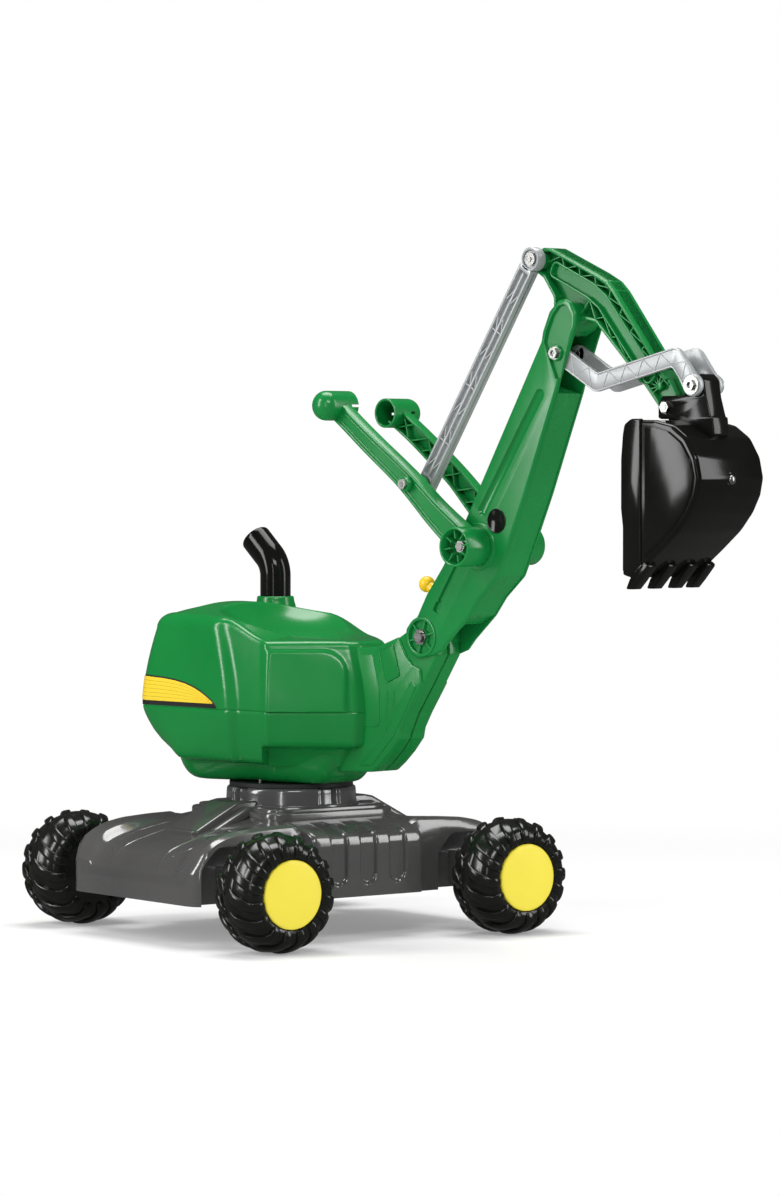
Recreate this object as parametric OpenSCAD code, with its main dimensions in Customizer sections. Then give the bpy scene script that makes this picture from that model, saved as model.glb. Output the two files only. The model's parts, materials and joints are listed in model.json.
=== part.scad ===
// Child's ride-on digger. A wheeled chassis carries a seat that slews all
// round. A boom with two hand levers stands in front of the rider: the left
// lever lifts the boom, the right lever works the dipper and the bucket.
// Millimetres, +Z up, +X forwards along the boom, +Y to the rider's left,
// origin on the slew axis at the ground. The chassis is modelled with its
// rolling direction along its own x and is turned under the seat.

/* [Wheels] */
// Outer radius of a tyre over its lugs
tyre_r = 61.5; // [56:0.5:62]
// Width of a tyre
tyre_w = 68; // [60:1:68]
// Distance from the centreline to the middle of a tyre
half_track = 181; // [180:1:186]
// Distance between the two axles
wheelbase = 304.4; // [300:0.1:312]
// Radius of a yellow wheel cap
cap_r = 35.3; // [34.5:0.1:36]
// Radius of a steel axle rod
axle_r = 5; // [4:0.5:6]

/* [Chassis] */
// Angle between the boom and the rolling direction
chassis_turn = 81.4; // [0:0.1:360]
// Half the length of the chassis hood to hood
chassis_hl = 205; // [204:1:214]
// Half the width of the hoods
hood_hw = 115; // [110:1:118]
// Half the width of the side boxes between the wheels
box_hw = 138; // [130:1:139]
// Wall thickness of the chassis
wall = 4; // [3:0.5:5]

/* [Turret] */
// Radius of the hollow journal that the seat turns on
journal_r = 20; // [18:1:24]
// Height of the top of the grey drum
drum_top = 154; // [153.5:0.1:154]

/* [Seat] */
// Height of the parting line between the seat shells
part_z = 237; // [230:1:240]
// Height of the sitting surface
seat_z = 312; // [306:1:316]
// Height of the raised back of the seat
hump_z = 345; // [338:1:345]
// Wall thickness of the seat shells
seat_wall = 3.5; // [3:0.5:4]

/* [Exhaust] */
// Outer radius of the exhaust pipe
pipe_r = 16.6; // [14:0.1:17]
// Angle of the bend
pipe_bend = 48; // [20:1:60]

/* [Boom] */
// Half the width of the boom
boom_hw = 22; // [22:0.5:23]
// Half the width of the column head between the boom's cheeks
head_hw = 17.6; // [15:0.1:17.6]
// Radius of the boom's pivot bolt
boom_pin_r = 6; // [5:0.5:6.5]

/* [Levers] */
// Radius of a lever hub
hub_r = 20.3; // [18:0.1:21]
// Outer face of a lever hub from the centreline
hub_y = 58; // [54:1:60]
// Radius of a handle tube
grip_r = 15.5; // [14:0.5:16]
// Radius of the bolt through the two lever hubs
lever_pin_r = 4; // [3:0.5:4.5]

/* [Dipper and links] */
// Half the width of the dipper
dipper_hw = 12; // [11:0.1:12]
// Radius of the small pivot bolts
bolt_r = 3; // [2.5:0.1:3.2]
// Radius of the free hole at each end of the linkage that is left open
free_r = 7.2; // [7:0.1:7.5]

/* [Bucket] */
// Half the width of the bucket
bucket_hw = 47; // [44:1:50]
// Wall thickness of the bucket
bucket_wall = 3.5; // [3:0.5:4]

/* [Hidden] */
$fn = 48;
gap = 0.05;            // running clearance of a shaft in its bore
ax_z = tyre_r;         // height of the axles
ax_x = wheelbase / 2;
// pivots in the boom's plane, x and z
P_boom = [213, 318];
P_lever = [292, 412];
P_rod = [218, 475];
P_rodtop = [364, 700.5];
P_dip = [405, 641];
P_link = [396, 606];
P_bucket = [533, 551];
P_end = [570.6, 572];
P_knob = [217.8, 361];

green = [0.05, 0.45, 0.17];
grey = [0.30, 0.30, 0.31];
silver = [0.74, 0.76, 0.78];
black = [0.04, 0.04, 0.045];
yellow = [0.95, 0.85, 0.18];
steel = [0.72, 0.72, 0.70];

// ---- helpers -------------------------------------------------------------
module ch() rotate([0, 0, chassis_turn]) children();
// an outline in x and z, from y0 to y1
module xz(y0, y1) translate([0, y1, 0]) rotate([90, 0, 0]) linear_extrude(y1 - y0) children();
// a cylinder along y
module yc(p, r, y0, y1) translate([p[0], y1, p[1]]) rotate([90, 0, 0]) cylinder(r = r, h = y1 - y0);
module zc(x, y, r, z0, z1) translate([x, y, z0]) cylinder(r = r, h = z1 - z0);
module hexy(p, af, y0, y1) translate([p[0], y1, p[1]]) rotate([90, 0, 0]) cylinder(r = af / sqrt(3), h = y1 - y0, $fn = 6);
// a slab round two points in x and z: two ends and the strip between
module strap(a, b, ra, rb) {
  d = norm(b - a); n = [-(b - a)[1], (b - a)[0]] / d;
  translate(a) circle(r = ra);
  translate(b) circle(r = rb);
  polygon([a + n * ra, b + n * rb, b - n * rb, a - n * ra]);
}
// a bar of width w along a line of points, with square ends and filled corners
module bar(pts, w) {
  for (i = [0 : len(pts) - 2]) {
    a = pts[i]; b = pts[i + 1]; d = norm(b - a); n = [-(b - a)[1], (b - a)[0]] / d * w / 2;
    polygon([a + n, b + n, b - n, a - n]);
  }
  for (i = [1 : len(pts) - 2]) translate(pts[i]) circle(d = w);
}
function lerp(a, b, t) = a + (b - a) * t;

// ---- chassis -------------------------------------------------------------
deck_out = [[-chassis_hl, 44], [-chassis_hl, 74], [-192, 88], [-143, 104], [-78, 126], [-64, 129],
            [64, 129], [78, 126], [143, 104], [192, 88], [chassis_hl, 74], [chassis_hl, 44]];
deck_in = [[-chassis_hl + wall, 40], [-chassis_hl + wall, 72.5], [-190, 84.5], [-142, 100], [-76, 122.3], [-63, 125],
           [63, 125], [76, 122.3], [142, 100], [190, 84.5], [chassis_hl - wall, 72.5], [chassis_hl - wall, 40]];
hood_x = 168;
module chassis_body(prof, hw, bw, bx, bz, hx, z0) {
  xz(-hw[0], hw[0]) polygon(prof);
  for (s = [-1, 1]) intersection() {
    xz(-hw[1], hw[1]) polygon(prof);
    translate([s > 0 ? hx : -chassis_hl - 5, -130, z0]) cube([chassis_hl + 5 - hx, 260, 200]);
  }
  xz(-bw, bw) polygon([[-bx, 40 + (z0 > 30 ? 6 : 0)], [-bx, bz - 10], [-bx + 8, bz], [bx - 8, bz], [bx, bz - 10], [bx, 40 + (z0 > 30 ? 6 : 0)]]);
}
module chassis_shell() color(grey) ch() difference() {
  union() {
    chassis_body(deck_out, [96, hood_hw], box_hw, 70, 113, hood_x, 40);
    // stepped plate under the turret
    translate([-76, -76, 124]) cube([152, 152, 9]);
    zc(0, 0, 70, 124, 136);
    // central ramps down to the hoods
    for (s = [-1, 1]) xz(-26, 26) polygon([[s * 60, 120], [s * 60, 141], [s * 92, 141], [s * 143, 109], [s * 143, 100], [s * 120, 100]]);
    // axle carriers
    for (sx = [-1, 1], sy = [-1, 1]) translate([sx * ax_x - 15, sy > 0 ? 90 : -141.9, 47]) cube([30, 51.9, 36]);
  }
  difference() {
    chassis_body(deck_in, [96 - wall, hood_hw - wall], box_hw - wall, 66, 109, hood_x + wall, 20);
    // bosses, cross walls and the middle sleeve stay inside the shell
    for (sx = [-1, 1], sy = [-1, 1]) translate([sx * ax_x - 15, sy > 0 ? 84 : -142, 47]) cube([30, 58, 60]);
    for (sx = [-1, 1]) translate([sx * 104 - 2, -120, 47]) cube([4, 240, 100]);
    zc(0, 0, 34, 60, 140);
    for (sy = [-1, 1]) translate([-110, sy * 60 - 2, 47]) cube([220, 4, 100]);
  }
  zc(0, 0, journal_r + gap, 40, 150);
  zc(0, 0, 30, 40, 100);
  for (sx = [-1, 1]) yc([sx * ax_x, ax_z], axle_r + gap, -150, 150);
  // pressed grooves in the side boxes
  for (sy = [-1, 1], i = [-1, 0, 1]) translate([i * 38 - 11, sy > 0 ? box_hw - 1.8 : -box_hw - 1, 60]) cube([22, 2.8, 60]);
  for (a = [45 : 90 : 315]) rotate(a) zc(57, 0, 2.6, 120, 140);
}
module turret_drum() color(grey * 1.1) ch() difference() {
  union() {
    zc(0, 0, 41, 136, drum_top);
    for (a = [45 : 90 : 315]) rotate(a) { zc(57, 0, 12, 136, drum_top - 2); translate([34, -9, 136]) cube([23, 18, drum_top - 138]); }
  }
  zc(0, 0, journal_r + gap, 130, 160);
  for (a = [45 : 90 : 315]) rotate(a) { zc(57, 0, 2.6, 130, 160); zc(57, 0, 6, drum_top - 6, 160); }
}
module drum_screws() color(steel) ch() for (a = [45 : 90 : 315]) rotate(a) { zc(57, 0, 2.5, 121, drum_top - 6); zc(57, 0, 5, drum_top - 6, drum_top - 3); }
module axle(sx) color(steel) ch() yc([sx * ax_x, ax_z], axle_r, -half_track - 23, half_track + 23);
module axle_spacers() color(black) ch() for (sx = [-1, 1], sy = [-1, 1]) difference() {
  yc([sx * ax_x, ax_z], 10, sy > 0 ? 142 : -half_track + tyre_w / 2 + 0.3, sy > 0 ? half_track - tyre_w / 2 - 0.3 : -142);
  yc([sx * ax_x, ax_z], axle_r + gap, -200, 200);
}
module axle_push_nuts() color(steel) ch() for (sx = [-1, 1], sy = [-1, 1]) difference() {
  yc([sx * ax_x, ax_z], 9, sy > 0 ? half_track + 18.5 : -half_track - 21.5, sy > 0 ? half_track + 21.5 : -half_track - 18.5);
  yc([sx * ax_x, ax_z], axle_r, -220, 220);
}

// ---- wheels --------------------------------------------------------------
// a wheel turns about its own z, outer side up, then lies along the axle
module at_wheel(sx, sy) ch() translate([sx * ax_x, sy * half_track, ax_z]) rotate([sy > 0 ? -90 : 90, 0, 0]) children();
hw = tyre_w / 2;
lugs = 16;
module tyre_shape() difference() {
  union() {
    for (i = [0 : lugs - 1]) intersection() {
      rotate_extrude($fn = 96) polygon([[42, -hw + 4.2], [50, -hw], [57, -hw + 5], [tyre_r, -hw + 14],
        [tyre_r, hw - 14], [57, hw - 5], [50, hw], [42, hw - 4.6]]);
      rotate(360 * (i + 0.25) / lugs) translate([36, -5, -60]) cube([40, 10, 120]);
    }
    rotate_extrude($fn = 96) polygon([[0, -hw + 2.5], [47, -hw + 2.5], [54, -hw + 7.5], [57.5, -12], [tyre_r - 0.5, -6], [tyre_r - 0.5, 6], [57.5, 12],
      [54, hw - 7.5], [47, hw - 2.5], [41, hw - 4], [36, 27], [0, 27]]);
  }
  // air space, cap recess and bore
  rotate_extrude($fn = 96) polygon([[13, -hw + 6], [44, -hw + 6], [50, -hw + 11], [53, -12], [53, 12], [50, hw - 11], [44, hw - 7], [39, 14], [13, 14]]);
  translate([0, 0, 18]) cylinder(r = 32.5, h = 40);
  translate([0, 0, -60]) cylinder(r = axle_r + gap, h = 120);
}
module cap_shape() {
  translate([0, 0, 27.1]) rotate_extrude($fn = 96) polygon([[0, 0], [cap_r - 0.5, 0], [cap_r, 1.5], [cap_r, 4], [cap_r - 2, 5.4], [cap_r - 9, 6.4], [0, 6.9]]);
  translate([0, 0, 22.5]) difference() { cylinder(r = 32.2, h = 5); translate([0, 0, -1]) cylinder(r = 30, h = 5.6); }
}
module tyre(sx, sy) color(black) at_wheel(sx, sy) tyre_shape();
module wheel_cap(sx, sy) color(yellow) at_wheel(sx, sy) cap_shape();

// ---- turntable -----------------------------------------------------------
module turntable_plate() color(black) difference() {
  zc(0, 0, 66, 154.3, 158.4);
  zc(0, 0, journal_r, 150, 160);
  for (a = [0 : 90 : 270]) rotate(a) zc(45.5, 0, 2.6, 150, 160);
}
module slew_journal() color(black) difference() {
  union() { zc(0, 0, journal_r, 99.9, 166.2); zc(0, 0, 40, 166.2, 170.2); }
  zc(0, 0, 5.05, 90, 180);
  zc(0, 0, 15, 112, 157);
}
module slew_retainer() color(steel) difference() { zc(0, 0, 28, 96.9, 99.9); zc(0, 0, 5.05, 90, 110); }
module slew_bolt() color(steel) { zc(0, 0, 5, 90.4, 182); translate([0, 0, 90.4]) cylinder(r = 17 / sqrt(3), h = 6.5, $fn = 6); }
module slew_nut() color(steel) translate([0, 0, 170.2]) difference() { cylinder(r = 17 / sqrt(3), h = 8, $fn = 6); translate([0, 0, -1]) cylinder(r = 5, h = 20); }

// ---- seat ----------------------------------------------------------------
// outline round a ring of circles [x, y, r], counter-clockwise, drawn in by e
function tang(a, b) = let (d = [b[0] - a[0], b[1] - a[1]]) atan2(d[1], d[0]) - acos((a[2] - b[2]) / norm(d));
function up(a, b) = b < a - 0.001 ? up(a, b + 360) : b;
function ring(c, e, n = 5) = [for (i = [0 : len(c) - 1])
  let (p = c[(i + len(c) - 1) % len(c)], q = c[i], r = c[(i + 1) % len(c)], t0 = tang(p, q), t1 = up(t0, tang(q, r)))
  for (k = [0 : n]) let (t = t0 + (t1 - t0) * k / n) [q[0] + (q[2] - e) * cos(t), q[1] + (q[2] - e) * sin(t)]];
// plan of the seat: wide behind the rider's legs, drawn in to the column
plan_c = [[86, 16, 22], [12, 62, 31], [-112, 48, 48], [-112, -48, 48], [12, -62, 31], [86, -16, 22]];
back_c = [[-52, 60, 32], [-112, 48, 48], [-112, -48, 48], [-52, -60, 32]];
tub_c = [[64, 12, 34], [-84, 30, 44], [-84, -30, 44], [64, -12, 34]];
module plan(e) polygon(ring(plan_c, e));
module slab(z, e, h = 0.5) translate([0, 0, z]) linear_extrude(h) plan(e);
module tub(z, e, h = 0.5) translate([0, 0, z]) linear_extrude(h) polygon(ring(tub_c, e));
module plan_back(e) polygon(ring(back_c, e));
module seat_lower_shell() color(green) difference() {
  union() {
    hull() { slab(part_z - 0.5, 0); slab(205, 4); slab(176, 22); }
    hull() { tub(184, 0); tub(162, 4); tub(158.5, 8); }
  }
  hull() { slab(part_z, seat_wall); slab(206, 4 + seat_wall); slab(180, 22 + seat_wall); }
  hull() { tub(190, seat_wall); tub(166.1, 4 + seat_wall + 2); }
  zc(0, 0, journal_r + 0.1, 150, 170);
  for (a = [0 : 90 : 270]) rotate(a) { zc(45.5, 0, 2.6, 150, 170); zc(45.5, 0, 5.4, 166.1, 174); }
  // the column passes through the front wall
  translate([70, -20.5, 150]) cube([80, 41, 100]);
}
module seat_upper_shell() color(green) difference() {
  union() {
    hull() { slab(part_z, 0); slab(seat_z - 22, 5); slab(seat_z - 6, 9); slab(seat_z - 0.5, 16); }
    hull() for (q = [[275, 6.5], [hump_z - 16, 11], [hump_z - 5, 20], [hump_z - 0.5, 29]]) translate([0, 0, q[0]]) linear_extrude(0.5) plan_back(q[1]);
    zc(-80, 55, 21, 310, 353);
  }
  hull() { slab(part_z - 1, seat_wall); slab(seat_z - 24, 5 + seat_wall); slab(seat_z - 8, 14 + seat_wall); }
  hull() for (q = [[260, 11], [hump_z - 18, 15], [hump_z - 6, 27]]) translate([0, 0, q[0]]) linear_extrude(0.5) plan_back(q[1]);
  zc(-80, 55, pipe_r + gap, 344, 360);
  translate([70, -20.5, 230]) cube([80, 41, 75.5]);
}
module seat_screws() color(steel) for (a = [0 : 90 : 270]) rotate(a) { zc(45.5, 0, 2.5, 155, 168); zc(45.5, 0, 5, 166.2, 169); }
module pipe_path(r, e) {
  zc(-80, 55, r, 344.1 - e, 374.2);
  translate([-110, 55, 374]) rotate([90, 0, 0]) rotate_extrude(angle = pipe_bend) translate([30, 0]) circle(r = r);
  translate([-110, 55, 374]) rotate([0, -pipe_bend, 0]) translate([30, 0, -0.2]) cylinder(r = r, h = 28.2 + e);
}
module exhaust_pipe() color(black) difference() { pipe_path(pipe_r, 0); pipe_path(pipe_r - 3, 5); }
// plain striped side trims: a backing and four slim bars a side
module trim_outline() polygon([[-150, 239], [-62, 239], [-56, 241], [-58, 246], [-74, 256], [-96, 264], [-120, 267], [-150, 268]]);
module trim_inner() polygon([[-150, 242], [-68, 242], [-64, 244], [-78, 253.5], [-98, 261], [-120, 264], [-150, 265]]);
module side_trim_backings() color(black) for (s = [-1, 1]) intersection() {
  xz(s > 0 ? 60 : -110, s > 0 ? 110 : -60) trim_outline();
  difference() { translate([0, 0, 236]) linear_extrude(40) plan(-0.6); translate([0, 0, 230]) linear_extrude(60) plan(0); }
}
module side_trims() color(yellow) for (s = [-1, 1]) intersection() {
  xz(s > 0 ? 60 : -110, s > 0 ? 110 : -60) trim_inner();
  difference() { translate([0, 0, 236]) linear_extrude(40) plan(-1.2); translate([0, 0, 230]) linear_extrude(60) plan(-0.6); }
}

// ---- column --------------------------------------------------------------
col_out = [[74, 172], [140, 175], [152, 184], [166, 197], [178, 212], [180, 222], [190, 238], [212, 270], [231, 299], [230, 318],
           [213, 335], [194, 326], [181, 318], [147, 306], [112, 304], [74, 304]];
col_in = [[78, 176], [138, 179], [149, 187], [162, 200], [174, 214], [176, 223], [186, 240], [207, 271], [214, 284], [196, 296],
          [182, 312], [148, 302], [112, 300], [78, 300]];
module column_half(s) color(green) {
  y0 = s > 0 ? 0.05 : -20; y1 = s > 0 ? 20 : -0.05;
  difference() {
    union() {
      intersection() { xz(y0, y1) polygon(col_out); translate([60, -30, 150]) cube([126, 60, 170]); }
      xz(s > 0 ? 0.05 : -head_hw, s > 0 ? head_hw : -0.05) polygon(col_out);
      intersection() { xz(y0, y1) polygon(col_out); translate([100, -30, 150]) cube([112, 60, 120]); }
      yc(P_boom, 18, s > 0 ? 0.05 : -head_hw, s > 0 ? head_hw : -0.05);
    }
    xz(s > 0 ? -1 : -16.5, s > 0 ? 16.5 : 1) polygon(col_in);
    yc(P_boom, boom_pin_r + gap, -40, 40);
    for (q = [[104, 200], [120, 282], [186, 262]]) yc(q, 2.2, -40, 40);
    for (q = [[104, 200], [120, 282], [186, 262]]) yc(q, 5, -40, -17.5);
  }
}
module column_screws() color(steel) for (q = [[104, 200], [120, 282], [186, 262]]) { yc(q, 2.2, -18, 14); yc(q, 4.5, -19.6, -17.5); }

// ---- boom ----------------------------------------------------------------
boom_out = [[227, 299], [241, 304], [251, 315], [279, 340], [294, 359], [319, 381], [332, 409], [357, 465], [377, 515], [398, 567],
            [402, 580], [423, 632], [424, 645], [418, 656], [410, 660], [400, 659], [388, 648], [379, 628], [377, 618],
            [274, 440], [241, 390], [219, 362], [205, 338], [190, 326], [189, 314], [196, 301], [206, 295]];
// hollow between the side walls, closed in front from the notch to the fork
boom_in = [[256, 334], [274, 344], [290, 363], [315, 385], [328, 411], [353, 467], [373, 517], [392, 563], [440, 563], [440, 680],
           [360, 680], [372, 610], [276, 436.5], [244.5, 388], [223, 361], [209, 337], [222, 345]];
module boom() color(green) difference() {
  union() {
    difference() {
      xz(-boom_hw, boom_hw) polygon(boom_out);
      xz(-boom_hw + 4, boom_hw - 4) polygon([for (p = boom_in) if (true) p]);
      // fork round the column head
      xz(-head_hw - 0.2, head_hw + 0.2) polygon([[160, 270], [262, 270], [262, 329], [256, 335], [222, 346], [160, 345]]);
    }
    yc(P_boom, 16, -boom_hw - 1.5, -head_hw - 0.2);
    yc(P_boom, 16, head_hw + 0.2, boom_hw + 1.5);
    // collars under the levers, and the sleeve between the walls
    yc(P_lever, 24, -boom_hw - 1.8, boom_hw + 1.8);
    // block that guides the lock pin
    at_pin() translate([0, 0, 8.5]) cube([16, 2 * boom_hw - 6, 11], center = true);
  }
  yc(P_boom, boom_pin_r, -40, 40);
  yc(P_boom, 13, -40, -boom_hw + 1);
  yc(P_boom, 13, boom_hw - 1, 40);
  yc(P_lever, lever_pin_r, -40, 40);
  yc(P_lever, 18, -boom_hw + 4, boom_hw - 4);
  yc(P_dip, 5, -boom_hw + 1.6, boom_hw - 1.6);
  yc(P_link, bolt_r, -40, 40);
  yc(P_link, 6.55, -boom_hw - 1, -boom_hw + 1.2);
  yc(P_link, 5.55, boom_hw - 1.2, boom_hw + 1);
  // recessed panels of the fork
  for (s = [-1, 1]) translate([0, s > 0 ? 0 : 0, 0]) xz(s > 0 ? boom_hw - 1.2 : -boom_hw - 1, s > 0 ? boom_hw + 1 : -boom_hw + 1.2)
    polygon([[384, 622], [400, 584], [404, 584], [419, 632], [420, 645], [410, 656], [401, 655], [391, 645]]);
    at_pin() translate([0, 0, -12]) cylinder(r = 4 + gap, h = 30);
}
module boom_pivot_bolt() color(steel) { yc(P_boom, boom_pin_r, -boom_hw - 1, boom_hw + 1); hexy(P_boom, 15, boom_hw - 1, boom_hw + 4); }
module boom_pivot_nut() color(steel) difference() {
  union() { hexy(P_boom, 15, -boom_hw - 3, -boom_hw + 1); translate([P_boom[0], -boom_hw - 3, P_boom[1]]) rotate([90, 0, 0]) cylinder(r = 5.5, h = 3); }
  yc(P_boom, boom_pin_r, -boom_hw - 1, 0);
}
module lever_bolt() color(steel) { yc(P_lever, lever_pin_r, -50, 50); hexy(P_lever, 11, 46, 50); }
module lever_nut() color(steel) difference() { hexy(P_lever, 11, -49, -46); yc(P_lever, lever_pin_r, -60, 0); }
module dipper_pin() color(steel) yc(P_dip, 5, -boom_hw + 1.8, boom_hw - 1.8);
module link_bolt() color(steel) { yc(P_link, bolt_r, -boom_hw - 1.5, boom_hw + 3.5); yc(P_link, 5.5, boom_hw - 1.2, boom_hw + 2.5); }
module link_bolt_nut() color(steel) difference() {
  union() { yc(P_link, 6.5, -boom_hw - 0.2, -boom_hw + 1.2); hexy(P_link, 10, -boom_hw - 3.4, -boom_hw - 0.2); }
  yc(P_link, bolt_r, -40, 0);
}
module boom_plug() color(black) yc([318, 438], 12.5, -boom_hw - 1, -boom_hw);
// the lock slides square to the rear wall of the boom
module at_pin() translate([P_knob[0], 0, P_knob[1]]) rotate([0, 120.3, 0]) children();
module lock_knob() color([0.98, 0.75, 0.05]) at_pin() difference() {
  union() { translate([0, 0, -20.6]) sphere(r = 8.4); translate([0, 0, -20.6]) cylinder(r = 6, h = 18.4); }
  translate([0, 0, -14]) cylinder(r = 4, h = 20);
}
module lock_pin() color(steel) at_pin() translate([0, 0, -14]) cylinder(r = 4, h = 30);

// ---- levers --------------------------------------------------------------
// the arm stands off the boom by the hub and steps outwards to the grip
grip = [115.5, 556];
knee = [208, 491];
module lever_shape(s) {
  m = s > 0 ? [0, 0, 0] : [0, 1, 0];
  difference() {
    union() {
      mirror(m) xz(24.4, 44) difference() {
        strap(P_lever, knee, 19, 14);
        strap(lerp(P_lever, knee, 0.26), lerp(P_lever, knee, 0.93), 14, 10.5);
      }
      mirror(m) xz(41.5, 44) strap(P_lever, knee, 19, 14);
      mirror(m) for (t = [0.42, 0.6, 0.78]) xz(26, 43) bar([lerp(P_lever, knee, t) + [-9, -11], lerp(P_lever, knee, t) + [9, 11]], 2);
      mirror(m) xz(38, 54) difference() {
        strap(knee, grip, 14, 12);
        strap(lerp(knee, grip, 0.12), lerp(knee, grip, 0.78), 10.5, 9);
      }
      mirror(m) xz(51.5, 54) strap(knee, grip, 14, 12);
      mirror(m) for (t = [0.3, 0.55]) xz(40, 53) bar([lerp(knee, grip, t) + [-8, -10], lerp(knee, grip, t) + [8, 10]], 2);
      mirror(m) yc(P_lever, hub_r, 24.4, hub_y);
      mirror(m) yc(grip, grip_r, 30, 63);
      mirror(m) translate([grip[0], 63, grip[1]]) sphere(r = grip_r);
    }
    mirror(m) yc(grip, grip_r - 2.5, 29, 62);
    mirror(m) translate([grip[0], 62, grip[1]]) sphere(r = grip_r - 2.6);
    mirror(m) difference() {
      yc(P_lever, hub_r - 2.5, 46, hub_y + 1);
      for (a = [0 : 45 : 135]) translate([P_lever[0], 46, P_lever[1]]) rotate([0, a, 0]) translate([-hub_r, 0, -0.8]) cube([hub_r * 2, 9, 1.6]);
      yc(P_lever, 7.5, 45, 46);
    }
    mirror(m) yc(P_lever, 7.5, 46, hub_y + 1);
    yc(P_lever, lever_pin_r + (s > 0 ? 0 : gap), -70, 70);
  }
}
module left_lever() color(green) difference() {
  lever_shape(1);
  // slit in the grip
  translate([grip[0] - 20, 55, grip[1] - 1]) cube([40, 4, 2.2]);
}
module right_lever() color(green) difference() {
  union() {
    lever_shape(-1);
    yc(P_rod, 9, -54, -24.4);
  }
  yc(P_rod, bolt_r, -60, 0);
  translate([grip[0] - 20, -36, grip[1] - 1]) cube([40, 4, 2.2]);
}
module rod_bolt() color(steel) { yc(P_rod, bolt_r, -57, -8.5); yc(P_rod, 5.5, -12, -8.5); }
module rod_nut() color(steel) difference() { hexy(P_rod, 10, -57.2, -54); yc(P_rod, bolt_r, -60, 0); }

// ---- push rod ------------------------------------------------------------
function across(a, b, w) = [-(b - a)[1], (b - a)[0]] / norm(b - a) * w;
module push_rod() color(silver) difference() {
  union() {
    xz(-24.1, -12.4) difference() {
      strap(P_rod, P_rodtop, 9.5, 9.5);
      strap(lerp(P_rod, P_rodtop, 0.06), lerp(P_rod, P_rodtop, 0.93), 6.8, 6.8);
    }
    xz(-19.5, -17) strap(P_rod, P_rodtop, 9.4, 9.4);
    // zig-zag ribs
    for (i = [0 : 10]) let (a = lerp(P_rod, P_rodtop, 0.07 + i * 0.078), b = lerp(P_rod, P_rodtop, 0.07 + (i + 1) * 0.078), k = i % 2 == 0 ? 1 : -1)
      xz(-23, -13.5) bar([a + across(P_rod, P_rodtop, 7.5 * k), b - across(P_rod, P_rodtop, 7.5 * k)], 1.8);
    yc(P_rodtop, 12, -24.1, -12.4);
    yc(P_rod, 9.5, -24.1, -12.4);
  }
  yc(P_rod, bolt_r + gap, -30, 0);
  yc(P_rodtop, 5.2, -30, 0);
  yc(P_rodtop, 9, -30, -21);
}

// ---- dipper --------------------------------------------------------------
dip_out = [[P_rodtop[0] - 6, 706], [372, 711.5], [381, 711], [440, 684.5], [456, 676], [466, 667], [528, 587], [543, 563], [543, 551], [540, 544],
           [526, 544], [521, 551], [485, 592], [441, 636], [424, 640], [410, 622], [396, 624], [386, 640], [386, 664], [372, 682], [356, 692], [353, 700]];
dip_web1 = [[380, 704], [436, 678.5], [450, 671], [461, 661], [512, 594], [500, 584], [446, 641], [428, 658], [414, 664], [396, 666], [386, 676], [380, 686]];
module dipper() color(green) difference() {
  union() {
    intersection() {
      xz(-dipper_hw, dipper_hw) polygon(dip_out);
      translate([0, -50, 576]) cube([700, 100, 200]);
    }
    xz(-8, 8) polygon(dip_out);
    yc(P_bucket, 10, -8, 8);
    yc(P_dip, 17, -17.4, 17.4);
    yc(P_rodtop, 10.5, -dipper_hw, dipper_hw);
  }
  for (s = [-1, 1]) difference() {
    xz(s > 0 ? 1.5 : -20, s > 0 ? 20 : -1.5) polygon(dip_web1);
    yc(P_dip, 17, -30, 30);
    // truss ribs
    for (i = [0 : 4]) let (x = 392 + i * 15) xz(-11.5, 11.5) bar([[x, 700 - i * 6.5], [x + 7 * (i % 2 == 0 ? 1 : -1), 655 - i * 4]], 1.8);
    for (i = [0 : 4]) let (t = i / 4, a = lerp([462, 668], [514, 596], t), b = lerp([438, 646], [496, 586], t + (i % 2 == 0 ? 0.1 : -0.05)))
      xz(-11.5, 11.5) bar([a, b], 1.8);
  }
  yc(P_dip, 5 + gap, -30, 30);
  yc(P_bucket, bolt_r + gap, -30, 30);
  yc(P_rodtop, bolt_r - 0.5, -30, 8);
}
module rod_top_screw() color(steel) { yc(P_rodtop, 2.5, -25, 6); yc(P_rodtop, 3.4, -21.5, -12.1); yc(P_rodtop, 6.6, -24, -21.6); }
module bucket_bolt() color(steel) { yc(P_bucket, bolt_r, -16, 16); yc(P_bucket, 5.5, 12.1, 15.5); }
module bucket_bolt_nut() color(steel) difference() { hexy(P_bucket, 10, -15.6, -12.1); yc(P_bucket, bolt_r, -30, 0); }

// ---- links ---------------------------------------------------------------
link_pts = [P_link, [447, 576], [549, 600], P_end];
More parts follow.
